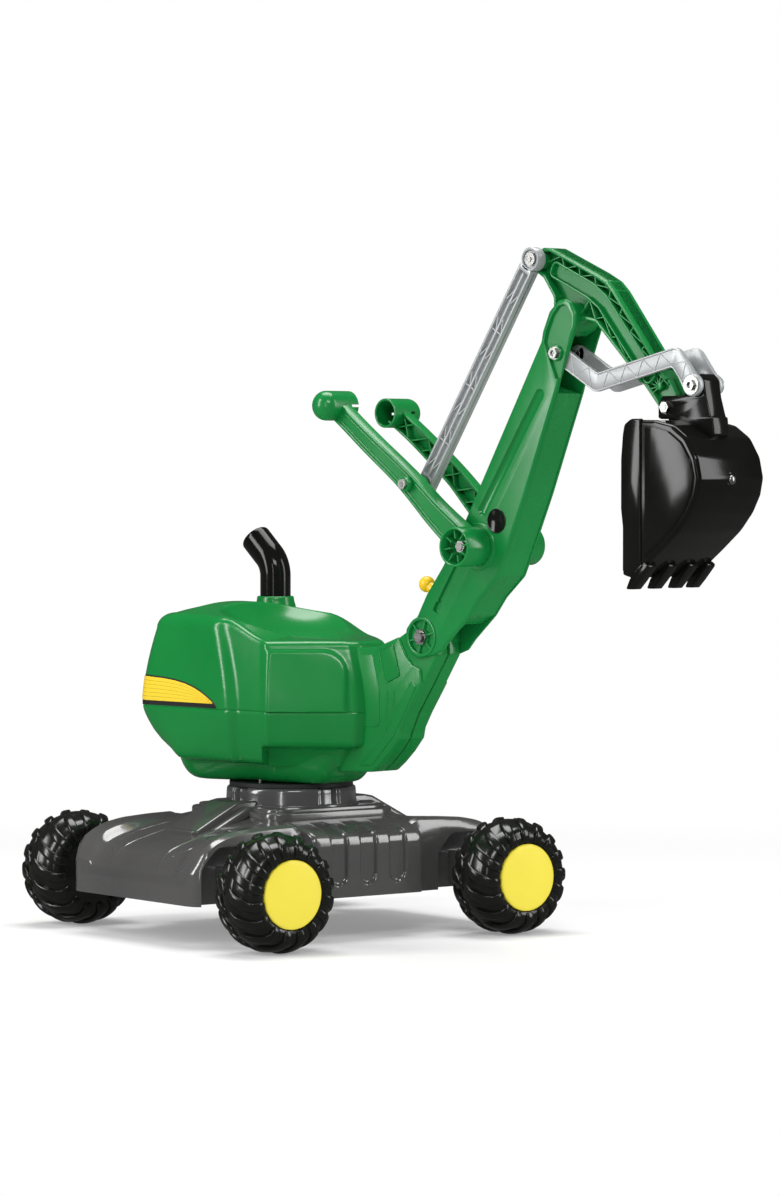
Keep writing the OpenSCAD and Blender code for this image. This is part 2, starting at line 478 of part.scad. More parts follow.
// outline of a strip of width w along the points, with mitred corners
function unit(v) = v / norm(v);
function perp(v) = [-v[1], v[0]];
function miter(p, i, w) = i == 0 ? p[0] + perp(unit(p[1] - p[0])) * w
  : i == len(p) - 1 ? p[i] + perp(unit(p[i] - p[i - 1])) * w
  : let (n1 = perp(unit(p[i] - p[i - 1])), n2 = perp(unit(p[i + 1] - p[i])), m = unit(n1 + n2)) p[i] + m * (w / (m * n1));
function outline(p, w) = concat([for (i = [0 : len(p) - 1]) miter(p, i, w)], [for (i = [len(p) - 1 : -1 : 0]) miter(p, i, -w)]);
module z_link(s) color(silver) {
  y0 = s > 0 ? 12.3 : -17.7; y1 = s > 0 ? 17.7 : -12.3;
  difference() {
    union() {
      xz(y0, y1) polygon(outline(link_pts, 9));
      yc(P_link, 9, y0, y1);
      yc(P_end, 11, y0, y1);
    }
    yc(P_link, bolt_r + gap, -30, 30);
    yc(P_end, free_r, -30, 30);
    // shallow pockets leave a truss pattern on the outer face
    for (i = [0 : 5]) let (a = lerp([452, 577], [545, 599], (i + 0.12) / 6), b = lerp([452, 577], [545, 599], (i + 0.88) / 6), n = across([452, 577], [545, 599], 6.5))
      xz(s > 0 ? y1 - 1 : y0 - 1, s > 0 ? y1 + 1 : y0 + 1) polygon(i % 2 == 0 ? [a - n, b - n, b + n] : [a - n, b + n, a + n]);
  }
}

// ---- bucket --------------------------------------------------------------
bk = [[510, 392], [510, 530], [520, 538], [548, 537], [570, 530], [586, 517], [597, 497], [600, 480], [597, 464], [588, 447], [574, 430], [552, 411], [530, 393], [518, 384], [512, 386]];
bki = [[500, 396], [500, 528], [521, 534.5], [547, 533.5], [568, 527], [583, 515], [593.5, 496], [596.5, 480], [593.5, 465], [585, 449], [571.5, 432.5], [549.5, 413.5], [528, 396.5], [516, 390], [500, 392]];
module bucket_shell() color(black) difference() {
  union() {
    xz(-bucket_hw, bucket_hw) polygon(bk);
    // side swellings and lip
    xz(-bucket_hw - 2, bucket_hw + 2) polygon([[509, 392], [509, 531], [519, 539], [530, 539], [530, 396], [518, 386]]);
    // teeth
    for (y = [-45, -15, 15, 45]) xz(y - 7.5, y + 7.5) polygon([[498, 374], [508, 374.5], [540, 398], [524, 396]]);
  }
  xz(-bucket_hw + bucket_wall, bucket_hw - bucket_wall) polygon(bki);
  for (q = [[548, 0]]) zc(q[0], -0, 2.2, 520, 560);
  zc(566, 0, 2.2, 500, 560);
  translate([580, 0, 480]) rotate([0, 90, 0]) cylinder(r = 1.9, h = 30);
}
module bucket_bracket() color(black) difference() {
  union() {
    xz(-12, 12) polygon([[523, 540.2], [523, 554], [528, 562], [556, 562], [561, 578], [567, 583], [575, 583], [581, 577], [584, 560], [590, 540.2]]);
    xz(-12, 12) polygon([[536, 537.7], [548, 537.3], [570, 530.2], [586, 517.2], [594, 524], [592, 541], [536, 541]]);
  }
  // slot for the dipper's end and its swing
  xz(-8.3, 8.3) difference() { translate(P_bucket) circle(r = 24); translate([500, 480.7]) square([100, 60]); }
  xz(-8.3, 8.3) polygon([[515, 540.7], [545, 540.7], [552, 590], [515, 590]]);
  yc(P_bucket, bolt_r, -30, 30);
  yc(P_end, bolt_r, -30, 30);
}
module link_end_bolt() color(steel) { yc(P_end, bolt_r, -19.5, 21); yc(P_end, 9.4, 17.9, 20.5); }
module link_end_nut() color(steel) difference() { union() { yc(P_end, 9.4, -19.2, -17.9); hexy(P_end, 10, -22, -19.2); } yc(P_end, bolt_r, -30, 0); }
module bucket_screws() color(steel) { translate([600, 0, 480]) rotate([0, 90, 0]) cylinder(r = 4.5, h = 2); translate([590, 0, 480]) rotate([0, 90, 0]) cylinder(r = 1.9, h = 10); }

// ---- output --------------------------------------------------------------
chassis_shell();
turret_drum();
drum_screws();
axle(1);  // front_axle
axle(-1);  // rear_axle
axle_spacers();
axle_push_nuts();
tyre(1, -1);  // tyre_front_right
tyre(1, 1);  // tyre_front_left
tyre(-1, -1);  // tyre_rear_right
tyre(-1, 1);  // tyre_rear_left
wheel_cap(1, -1);  // wheel_cap_front_right
wheel_cap(1, 1);  // wheel_cap_front_left
wheel_cap(-1, -1);  // wheel_cap_rear_right
wheel_cap(-1, 1);  // wheel_cap_rear_left
turntable_plate();
slew_journal();
slew_retainer();
slew_bolt();
slew_nut();
seat_lower_shell();
seat_upper_shell();
seat_screws();
exhaust_pipe();
side_trims();
side_trim_backings();
column_half(-1);  // column_right_half
column_half(1);  // column_left_half
column_screws();
boom();
boom_pivot_bolt();
boom_pivot_nut();
lever_bolt();
lever_nut();
dipper_pin();
link_bolt();
link_bolt_nut();
boom_plug();
left_lever();
lock_knob();
lock_pin();
right_lever();
rod_bolt();
rod_nut();
push_rod();
dipper();
rod_top_screw();
bucket_bolt();
bucket_bolt_nut();
z_link(-1);  // z_link_right
z_link(1);  // z_link_left
bucket_shell();
bucket_bracket();
link_end_bolt();
link_end_nut();
bucket_screws();
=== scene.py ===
import json
import math
import bmesh
import bpy
import numpy as np
from mathutils import Matrix, Vector


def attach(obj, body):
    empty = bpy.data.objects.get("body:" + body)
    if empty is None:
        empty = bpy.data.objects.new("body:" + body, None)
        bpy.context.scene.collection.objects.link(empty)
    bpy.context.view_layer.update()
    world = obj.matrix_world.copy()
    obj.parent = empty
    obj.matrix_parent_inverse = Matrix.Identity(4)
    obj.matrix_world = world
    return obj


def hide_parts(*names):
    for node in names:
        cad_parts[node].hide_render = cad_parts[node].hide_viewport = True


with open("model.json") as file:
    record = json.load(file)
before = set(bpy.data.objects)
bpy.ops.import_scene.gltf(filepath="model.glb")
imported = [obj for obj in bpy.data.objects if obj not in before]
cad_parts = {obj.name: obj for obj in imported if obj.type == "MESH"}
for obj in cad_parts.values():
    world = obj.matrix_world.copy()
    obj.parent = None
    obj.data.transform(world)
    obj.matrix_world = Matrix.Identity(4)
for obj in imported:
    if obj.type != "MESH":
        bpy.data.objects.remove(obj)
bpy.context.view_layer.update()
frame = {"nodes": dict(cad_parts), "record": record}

K = 0.001
NODES = frame["nodes"]
TURN = math.radians(81.4)
P_BOOM, P_LEVER, P_ROD, P_RODTOP = (213, 318), (292, 412), (218, 475), (364, 700.5)
P_DIP, P_LINK, P_BUCKET, P_END = (405, 641), (396, 606), (533, 551), (570.6, 572)
GRIP, KNEE = (115.5, 556), (208, 491)


# ---------------------------------------------------------------- mesh tools
def sst(a, b, x):
    t = np.clip((x - a) / (b - a), 0.0, 1.0)
    return t * t * (3 - 2 * t)


def area2(p):
    return sum(p[i - 1][0] * p[i][1] - p[i][0] * p[i - 1][1] for i in range(len(p)))


def ccw(p):
    p = [tuple(q[:2]) for q in p]
    return p if area2(p) > 0 else p[::-1]


def rnd(pts, r, n=4):
    """Rounds each corner; a point may carry its own radius as a third value."""
    if area2(pts) < 0:
        pts = pts[::-1]
    out = []
    for i in range(len(pts)):
        a, p, b = (np.array(pts[j % len(pts)][:2], float) for j in (i - 1, i, i + 1))
        rr = pts[i][2] if len(pts[i]) > 2 else r
        u, v = a - p, b - p
        lu, lv = np.linalg.norm(u), np.linalg.norm(v)
        u, v = u / lu, v / lv
        ang = math.acos(max(-1, min(1, float(u @ v))))
        t = min(rr / max(math.tan(ang / 2), 1e-4), 0.46 * lu, 0.46 * lv)
        s, e = p + u * t, p + v * t
        for k in range(n + 1):
            w = k / n
            out.append(tuple((1 - w) ** 2 * s + 2 * w * (1 - w) * p + w * w * e))
    return out


def offset(pts, d):
    """Moves a counter-clockwise outline inwards by d."""
    n = len(pts)
    out = []
    for i in range(n):
        a, p, b = (np.array(pts[j % n], float) for j in (i - 1, i, i + 1))
        e1, e2 = p - a, b - p
        l1, l2 = np.linalg.norm(e1), np.linalg.norm(e2)
        if l1 < 1e-9:
            e1, l1 = e2, l2
        if l2 < 1e-9:
            e2, l2 = e1, l1
        n1 = np.array([-e1[1], e1[0]]) / l1
        n2 = np.array([-e2[1], e2[0]]) / l2
        k = d / max(1 + float(n1 @ n2), 0.35)
        out.append(tuple(p + (n1 + n2) * k))
    return out


def unit(v):
    v = np.array(v, float)
    return v / np.linalg.norm(v)


class Acc:
    """Collects closed solids, in millimetres, and turns them into one object."""

    def __init__(self, turn=0.0, at=(0, 0, 0)):
        self.v, self.f, self.m = [], [], []
        self.M = Matrix.Translation(at) @ Matrix.Rotation(turn, 4, "Z")
        self.mat = 0

    def add(self, verts, faces):
        o = len(self.v)
        self.v += [tuple(self.M @ Vector(p)) for p in verts]
        self.f += [tuple(i + o for i in f) for f in faces]
        self.m += [self.mat] * len(faces)

    def rings(self, rings, close0=True, close1=True):
        """Skins closed rings of equal length; ends are capped."""
        n = len(rings[0])
        verts = [p for r in rings for p in r]
        faces = []
        for k in range(len(rings) - 1):
            for i in range(n):
                j = (i + 1) % n
                faces.append((k * n + i, k * n + j, (k + 1) * n + j, (k + 1) * n + i))
        if close0:
            faces.append(tuple(range(n))[::-1])
        if close1:
            faces.append(tuple((len(rings) - 1) * n + i for i in range(n)))
        self.add(verts, faces)

    def prism(self, pts, y0, y1, b=0.8, seg=2, tf=None):
        """An outline in x and z, from y0 to y1, with rounded rims."""
        pts = ccw(pts)
        lay = []
        for k in range(seg + 1):
            t = math.pi / 2 * k / seg
            lay.append((b * (1 - math.sin(t)), b * (1 - math.cos(t))))
        if b <= 0:
            lay = [(0, 0)]
        lev = [(i, y0 + h) for i, h in lay] + [(i, y1 - h) for i, h in reversed(lay)]
        tf = tf or (lambda x, z, y: (x, y, z))
        self.rings([[tf(p[0], p[1], y) for p in offset(pts, i)] for i, y in lev])

    def frame(self, outer, inner, y0, y1, b=0.6, tf=None):
        """A rim between two outlines with the same number of points."""
        outer, inner = ccw(outer), ccw(inner)
        tf = tf or (lambda x, z, y: (x, y, z))
        prof = [(outer, b, y0), (outer, 0.3 * b, y0 + 0.3 * b), (outer, 0, y0 + b), (outer, 0, y1 - b), (outer, 0.3 * b, y1 - 0.3 * b), (outer, b, y1),
                (inner, -b, y1), (inner, -0.3 * b, y1 - 0.3 * b), (inner, 0, y1 - b), (inner, 0, y0 + b), (inner, -0.3 * b, y0 + 0.3 * b), (inner, -b, y0)]
        rings = [[tf(p[0], p[1], y) for p in offset(o, i)] for o, i, y in prof]
        n, m = len(outer), len(rings)
        verts = [p for r in rings for p in r]
        faces = []
        for k in range(m):
            q = (k + 1) % m
            for i in range(n):
                j = (i + 1) % n
                faces.append((k * n + i, k * n + j, q * n + j, q * n + i))
        self.add(verts, faces)

    def rev(self, prof, at, axis="y", n=48, a0=0.0):
        """Turns a closed profile (r, h) round an axis through at."""
        ax = {"x": (Vector((0, 1, 0)), Vector((0, 0, 1)), Vector((1, 0, 0))), "y": (Vector((0, 0, 1)), Vector((1, 0, 0)), Vector((0, 1, 0))),
              "z": (Vector((1, 0, 0)), Vector((0, 1, 0)), Vector((0, 0, 1)))}[axis] if isinstance(axis, str) else axis
        u, v, w = ax
        at = Vector(at)
        idx, verts = [], []
        for r, h in prof:
            if r < 1e-6:
                idx.append([len(verts)])
                verts.append(at + w * h)
            else:
                idx.append(list(range(len(verts), len(verts) + n)))
                for i in range(n):
                    t = a0 + 2 * math.pi * i / n
                    verts.append(at + w * h + (u * math.cos(t) + v * math.sin(t)) * r)
        faces = []
        m = len(prof)
        for k in range(m):
            a, b = idx[k], idx[(k + 1) % m]
            if len(a) == 1 and len(b) == 1:
                continue
            for i in range(n):
                j = (i + 1) % n
                if len(a) == 1:
                    faces.append((a[0], b[j], b[i]))
                elif len(b) == 1:
                    faces.append((a[i], a[j], b[0]))
                else:
                    faces.append((a[i], a[j], b[j], b[i]))
        self.add([tuple(p) for p in verts], faces)

    def cyl(self, p, r, y0, y1, b=0.5, n=48):
        self.rev([(0, y0), (r - b, y0), (r - 0.3 * b, y0 + 0.3 * b), (r, y0 + b), (r, y1 - b), (r - 0.3 * b, y1 - 0.3 * b), (r - b, y1), (0, y1)], (p[0], 0, p[1]), "y", n)

    def tube(self, p, ro, ri, y0, y1, b=0.4, n=64):
        self.rev([(ro - b, y0), (ro - 0.3 * b, y0 + 0.3 * b), (ro, y0 + b), (ro, y1 - b), (ro - 0.3 * b, y1 - 0.3 * b), (ro - b, y1),
                  (ri + b, y1), (ri + 0.3 * b, y1 - 0.3 * b), (ri, y1 - b), (ri, y0 + b), (ri + 0.3 * b, y0 + 0.3 * b), (ri + b, y0)], (p[0], 0, p[1]), "y", n)

    def bar(self, a, c, w, y0, y1, b=0.3):
        a, c = np.array(a, float), np.array(c, float)
        d = unit(c - a)
        nrm = np.array([-d[1], d[0]]) * w / 2
        self.prism([tuple(a + nrm), tuple(c + nrm), tuple(c - nrm), tuple(a - nrm)], y0, y1, b, 1)

    def make(self, name, mats, sharp=38):
        me = bpy.data.meshes.new(name)
        me.from_pydata([(x * K, y * K, z * K) for x, y, z in self.v], [], self.f)
        me.polygons.foreach_set("material_index", self.m)
        o = bpy.data.objects.new(name, me)
        bpy.context.collection.objects.link(o)
        for m in (mats if isinstance(mats, (list, tuple)) else [mats]):
            me.materials.append(m)
        tidy(o, sharp)
        return o


def tidy(o, sharp=38, recalc=True):
    bm = bmesh.new()
    bm.from_mesh(o.data)
    if recalc:
        bmesh.ops.recalc_face_normals(bm, faces=bm.faces)
    lim = math.radians(sharp)
    for e in bm.edges:
        e.smooth = not (len(e.link_faces) == 2 and e.calc_face_angle(0) > lim)
    for f in bm.faces:
        f.smooth = True
    bm.to_mesh(o.data)
    bm.free()
    o.data.update()


def applied(o):
    dg = bpy.context.evaluated_depsgraph_get()
    me = bpy.data.meshes.new_from_object(o.evaluated_get(dg), depsgraph=dg)
    old = o.data
    o.modifiers.clear()
    o.data = me
    bpy.data.meshes.remove(old)


def merge_flat(o, ang=0.6):
    bm = bmesh.new()
    bm.from_mesh(o.data)
    bmesh.ops.remove_doubles(bm, verts=bm.verts, dist=2e-6)
    bmesh.ops.dissolve_limit(bm, angle_limit=math.radians(ang), use_dissolve_boundaries=False, verts=bm.verts, edges=bm.edges)
    bm.to_mesh(o.data)
    bm.free()


def cad(node, name, mat, bevel=0.9, seg=2, cut=(), angle=34, sharp=38):
    """A worked copy of a CAD solid: cut, then with every edge rounded as a mould leaves it."""
    src = NODES[node]
    o = bpy.data.objects.new(name, src.data.copy())
    bpy.context.collection.objects.link(o)
    o.data.materials.clear()
    o.data.materials.append(mat)
    merge_flat(o)
    for c in cut:
        m = o.modifiers.new("cut", "BOOLEAN")
        m.operation, m.solver, m.object = "DIFFERENCE", "EXACT", c
        applied(o)
        bpy.data.objects.remove(c)
        merge_flat(o)
    if bevel:
        m = o.modifiers.new("bevel", "BEVEL")
        m.width, m.segments, m.limit_method, m.angle_limit = bevel * K, seg, "ANGLE", math.radians(angle)
        m.use_clamp_overlap = False
        m.miter_outer = "MITER_ARC"
        applied(o)
    tidy(o, sharp, recalc=False)
    return o


def join(name, objs):
    """Makes one object of several."""
    bm = bmesh.new()
    mats = []
    for o in objs:
        me = o.data
        base = len(bm.faces)
        remap = []
        for m in me.materials:
            if m not in mats:
                mats.append(m)
            remap.append(mats.index(m))
        bm.from_mesh(me)
        bm.faces.ensure_lookup_table()
        for f in bm.faces[base:]:
            f.material_index = remap[min(f.material_index, len(remap) - 1)] if remap else 0
    me = bpy.data.meshes.new(name)
    bm.to_mesh(me)
    bm.free()
    for m in mats:
        me.materials.append(m)
    for o in objs:
        bpy.data.objects.remove(o)
    o = bpy.data.objects.new(name, me)
    bpy.context.collection.objects.link(o)
    return o


def put(o, body, slot, *nodes):
    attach(o, body)
    if nodes:
        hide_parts(*nodes)
    return o


# ---------------------------------------------------------------- materials
def node(nt, kind, **kw):
    n = nt.nodes.new(kind)
    for k, v in kw.items():
        if k.startswith("i_"):
            n.inputs[k[2:].replace("_", " ")].default_value = v
        else:
            setattr(n, k, v)
    return n


def plastic(name, col, rough=0.25, var=0.10, peel=0.05, grain=0.02, wear=0.25, metallic=0.0, coat=0.0, flake=0.0, spec=0.5, scuff=0.10, dark=0.0):
    m = bpy.data.materials.new(name)
    m.use_nodes = True
    nt = m.node_tree
    b = nt.nodes["Principled BSDF"]
    L = nt.links.new
    tc = node(nt, "ShaderNodeTexCoord")
    big = node(nt, "ShaderNodeTexNoise", i_Scale=9.0, i_Detail=3.0, i_Roughness=0.5)
    L(tc.outputs["Object"], big.inputs["Vector"])
    fine = node(nt, "ShaderNodeTexNoise", i_Scale=260.0, i_Detail=4.0, i_Roughness=0.6)
    L(tc.outputs["Object"], fine.inputs["Vector"])
    lo = [c * (1 - var) for c in col]
    hi = [min(1, c * (1 + var) + 0.002) for c in col]
    ramp = node(nt, "ShaderNodeValToRGB")
    ramp.color_ramp.elements[0].position, ramp.color_ramp.elements[1].position = 0.3, 0.7
    ramp.color_ramp.elements[0].color = (*lo, 1)
    ramp.color_ramp.elements[1].color = (*hi, 1)
    L(big.outputs["Fac"], ramp.inputs["Fac"])
    # rubbed edges: paler and a little rougher
    geo = node(nt, "ShaderNodeNewGeometry")
    edge = node(nt, "ShaderNodeMapRange", i_From_Min=0.53, i_From_Max=0.62, i_To_Min=0.0, i_To_Max=wear)
    L(geo.outputs["Pointiness"], edge.inputs["Value"])
    brk = node(nt, "ShaderNodeMath", operation="MULTIPLY")
    L(edge.outputs["Result"], brk.inputs[0])
    patch = node(nt, "ShaderNodeMapRange", i_From_Min=0.35, i_From_Max=0.6, i_To_Min=0.35, i_To_Max=1.0)
    L(fine.outputs["Fac"], patch.inputs["Value"])
    L(patch.outputs["Result"], brk.inputs[1])
    mix = node(nt, "ShaderNodeMix", data_type="RGBA")
    pale = [min(1, c * 1.9 + 0.03) for c in col]
    mix.inputs["B"].default_value = (*pale, 1)
    L(ramp.outputs["Color"], mix.inputs["A"])
    L(brk.outputs["Value"], mix.inputs["Factor"])
    last = mix.outputs["Result"]
    if flake:
        vor = node(nt, "ShaderNodeTexVoronoi", i_Scale=2600.0)
        L(tc.outputs["Object"], vor.inputs["Vector"])
        fr = node(nt, "ShaderNodeMapRange", i_From_Min=0.0, i_From_Max=1.0, i_To_Min=1.0 - flake, i_To_Max=1.0 + flake)
        sep = node(nt, "ShaderNodeSeparateColor")
        L(vor.outputs["Color"], sep.inputs["Color"])
        L(sep.outputs["Red"], fr.inputs["Value"])
        mul = node(nt, "ShaderNodeVectorMath", operation="SCALE")
        L(last, mul.inputs[0])
        L(fr.outputs["Result"], mul.inputs["Scale"])
        last = mul.outputs["Vector"]
    L(last, b.inputs["Base Color"])
    # roughness: cloudy handling marks and hairline scuffs
    cloud = node(nt, "ShaderNodeTexNoise", i_Scale=38.0, i_Detail=6.0, i_Roughness=0.65, i_Distortion=0.6)
    L(tc.outputs["Object"], cloud.inputs["Vector"])
    rr = node(nt, "ShaderNodeMapRange", i_From_Min=0.3, i_From_Max=0.72, i_To_Min=rough * (1 - scuff), i_To_Max=rough * (1 + 2 * scuff))
    L(cloud.outputs["Fac"], rr.inputs["Value"])
    radd = node(nt, "ShaderNodeMath", operation="ADD")
    L(rr.outputs["Result"], radd.inputs[0])
    rw = node(nt, "ShaderNodeMath", operation="MULTIPLY")
    rw.inputs[1].default_value = 0.35
    L(brk.outputs["Value"], rw.inputs[0])
    L(rw.outputs["Value"], radd.inputs[1])
    L(radd.outputs["Value"], b.inputs["Roughness"])
    # bump: the soft waviness of a moulded wall and a fine grain on top
    wave = node(nt, "ShaderNodeTexNoise", i_Scale=26.0, i_Detail=1.5)
    L(tc.outputs["Object"], wave.inputs["Vector"])
    b1 = node(nt, "ShaderNodeBump", i_Strength=peel, i_Distance=0.004)
    L(wave.outputs["Fac"], b1.inputs["Height"])
    gr = node(nt, "ShaderNodeTexNoise", i_Scale=1500.0, i_Detail=3.0)
    L(tc.outputs["Object"], gr.inputs["Vector"])
    b2 = node(nt, "ShaderNodeBump", i_Strength=grain, i_Distance=0.0004)
    L(gr.outputs["Fac"], b2.inputs["Height"])
    L(b1.outputs["Normal"], b2.inputs["Normal"])
    L(b2.outputs["Normal"], b.inputs["Normal"])
    b.inputs["Metallic"].default_value = metallic
    b.inputs["Coat Weight"].default_value = coat
    b.inputs["Coat Roughness"].default_value = 0.08
    b.inputs["Specular IOR Level"].default_value = spec
    return m


def zinc(name):
    m = plastic(name, (0.36, 0.36, 0.345), rough=0.24, var=0.12, peel=0.0, grain=0.05, wear=0.4, metallic=1.0, scuff=0.35)
    return m


GREEN = plastic("green_plastic", (0.004, 0.200, 0.036), rough=0.21, var=0.07, peel=0.09, grain=0.03, wear=0.16, coat=0.0, spec=0.50)
GREEN2 = plastic("green_moulded", (0.004, 0.205, 0.040), rough=0.22, var=0.07, peel=0.04, grain=0.04, wear=0.25, coat=0.0, spec=0.50)
GREY = plastic("grey_plastic", (0.085, 0.083, 0.082), rough=0.17, var=0.10, peel=0.07, grain=0.01, wear=0.35, metallic=0.15, flake=0.10, coat=0.75)
GREY2 = plastic("grey_moulded", (0.095, 0.094, 0.097), rough=0.16, var=0.10, peel=0.05, grain=0.01, wear=0.35, metallic=0.2, flake=0.10, coat=0.8)
SILVER = plastic("silver_plastic", (0.40, 0.415, 0.42), rough=0.30, var=0.05, peel=0.03, grain=0.04, wear=0.20, metallic=0.25, flake=0.06)
BLACK = plastic("black_plastic", (0.0045, 0.0045, 0.004), rough=0.11, var=0.25, peel=0.05, grain=0.01, wear=0.06, coat=0.0, spec=0.24)
SATIN = plastic("satin_black", (0.010, 0.010, 0.010), rough=0.42, var=0.2, peel=0.03, grain=0.06, wear=0.15)
TYRE = plastic("tyre_plastic", (0.006, 0.0068, 0.0052), rough=0.20, var=0.25, peel=0.12, grain=0.03, wear=0.14, coat=0.1, spec=0.45)
YELLOW = plastic("yellow_plastic", (0.90, 0.76, 0.055), rough=0.38, var=0.04, peel=0.04, grain=0.06, wear=0.15)
TRIM = plastic("trim_yellow", (0.84, 0.60, 0.028), rough=0.28, var=0.03, peel=0.02, grain=0.02, wear=0.05)
KNOB = plastic("knob_plastic", (0.96, 0.58, 0.008), rough=0.30, var=0.05, peel=0.04, grain=0.04, wear=0.15)
STEEL = zinc("zinc_steel")


# ---------------------------------------------------------------- seat
CX = -22.0


def radii(corners, th):
    """Distance from (CX, 0) to a mirrored outline, at each angle."""
    right = [(x, -y, r) for x, y, r in corners]
    left = [(x, y, r) for x, y, r in reversed(corners)]
    pts = np.array(rnd(right + left, 5, 10))
    pts[:, 0] -= CX
    a, b = pts, np.roll(pts, -1, 0)
    out = np.zeros(len(th))
    for i, t in enumerate(th):
        d = np.array([math.cos(t), math.sin(t)])
        n = np.array([-d[1], d[0]])
        sa, sb = a @ n, b @ n
        hit = (sa * sb <= 0) & (np.abs(sa - sb) > 1e-9)
        w = sa[hit] / (sa[hit] - sb[hit])
        p = a[hit] + (b[hit] - a[hit]) * w[:, None]
        out[i] = max(0.0, (p @ d).max())
    return out


# corners of the right half, from the rear to the front: x, |y|, radius
LOW = [(-160, 56, 26), (-139, 92.5, 34), (1, 97, 21), (11, 90.5, 17), (45, 89, 10), (53, 91, 9), (127, 30, 10), (132, 18, 7)]
HIGH = [(-141, 52, 26), (-122, 79, 34), (-27, 90.5, 36), (-14, 85.5, 28), (40, 84, 7), (48, 85.5, 7), (112, 27, 12), (117, 15, 8)]


def edge_z(x):
    return 311 + 22 * (1 - sst(-24, 46, x)) - 7 * (1 - sst(-150, -112, x))


def seat_top(x, y):
    bx = np.interp(x, [-160, -141, -128, -110, -88, -60, -35, -12, 8, 26, 44, 112], [322, 328, 335, 343, 348, 347.5, 345, 342, 337, 327, 316, 310.5])
    w = np.interp(x, [-160, -110, -40, 40, 115], [66, 80, 86, 81, 24])
    ez = edge_z(x)
    body = ez + (bx - ez) * np.clip(1 - (np.abs(y) / w) ** 2.2, 0, 1)
    u = (np.where(x < 18, np.abs((x - 18) / 80.0), 0) ** 3.0 + np.abs(y / 88.0) ** 3.0) ** (1 / 3.0)
    dish = 312.5 + 33 * u ** 3.2
    k = 1.8
    h = np.clip(0.5 + 0.5 * (dish - body) / k, 0, 1)
    return dish * (1 - h) + body * h - k * h * (1 - h)


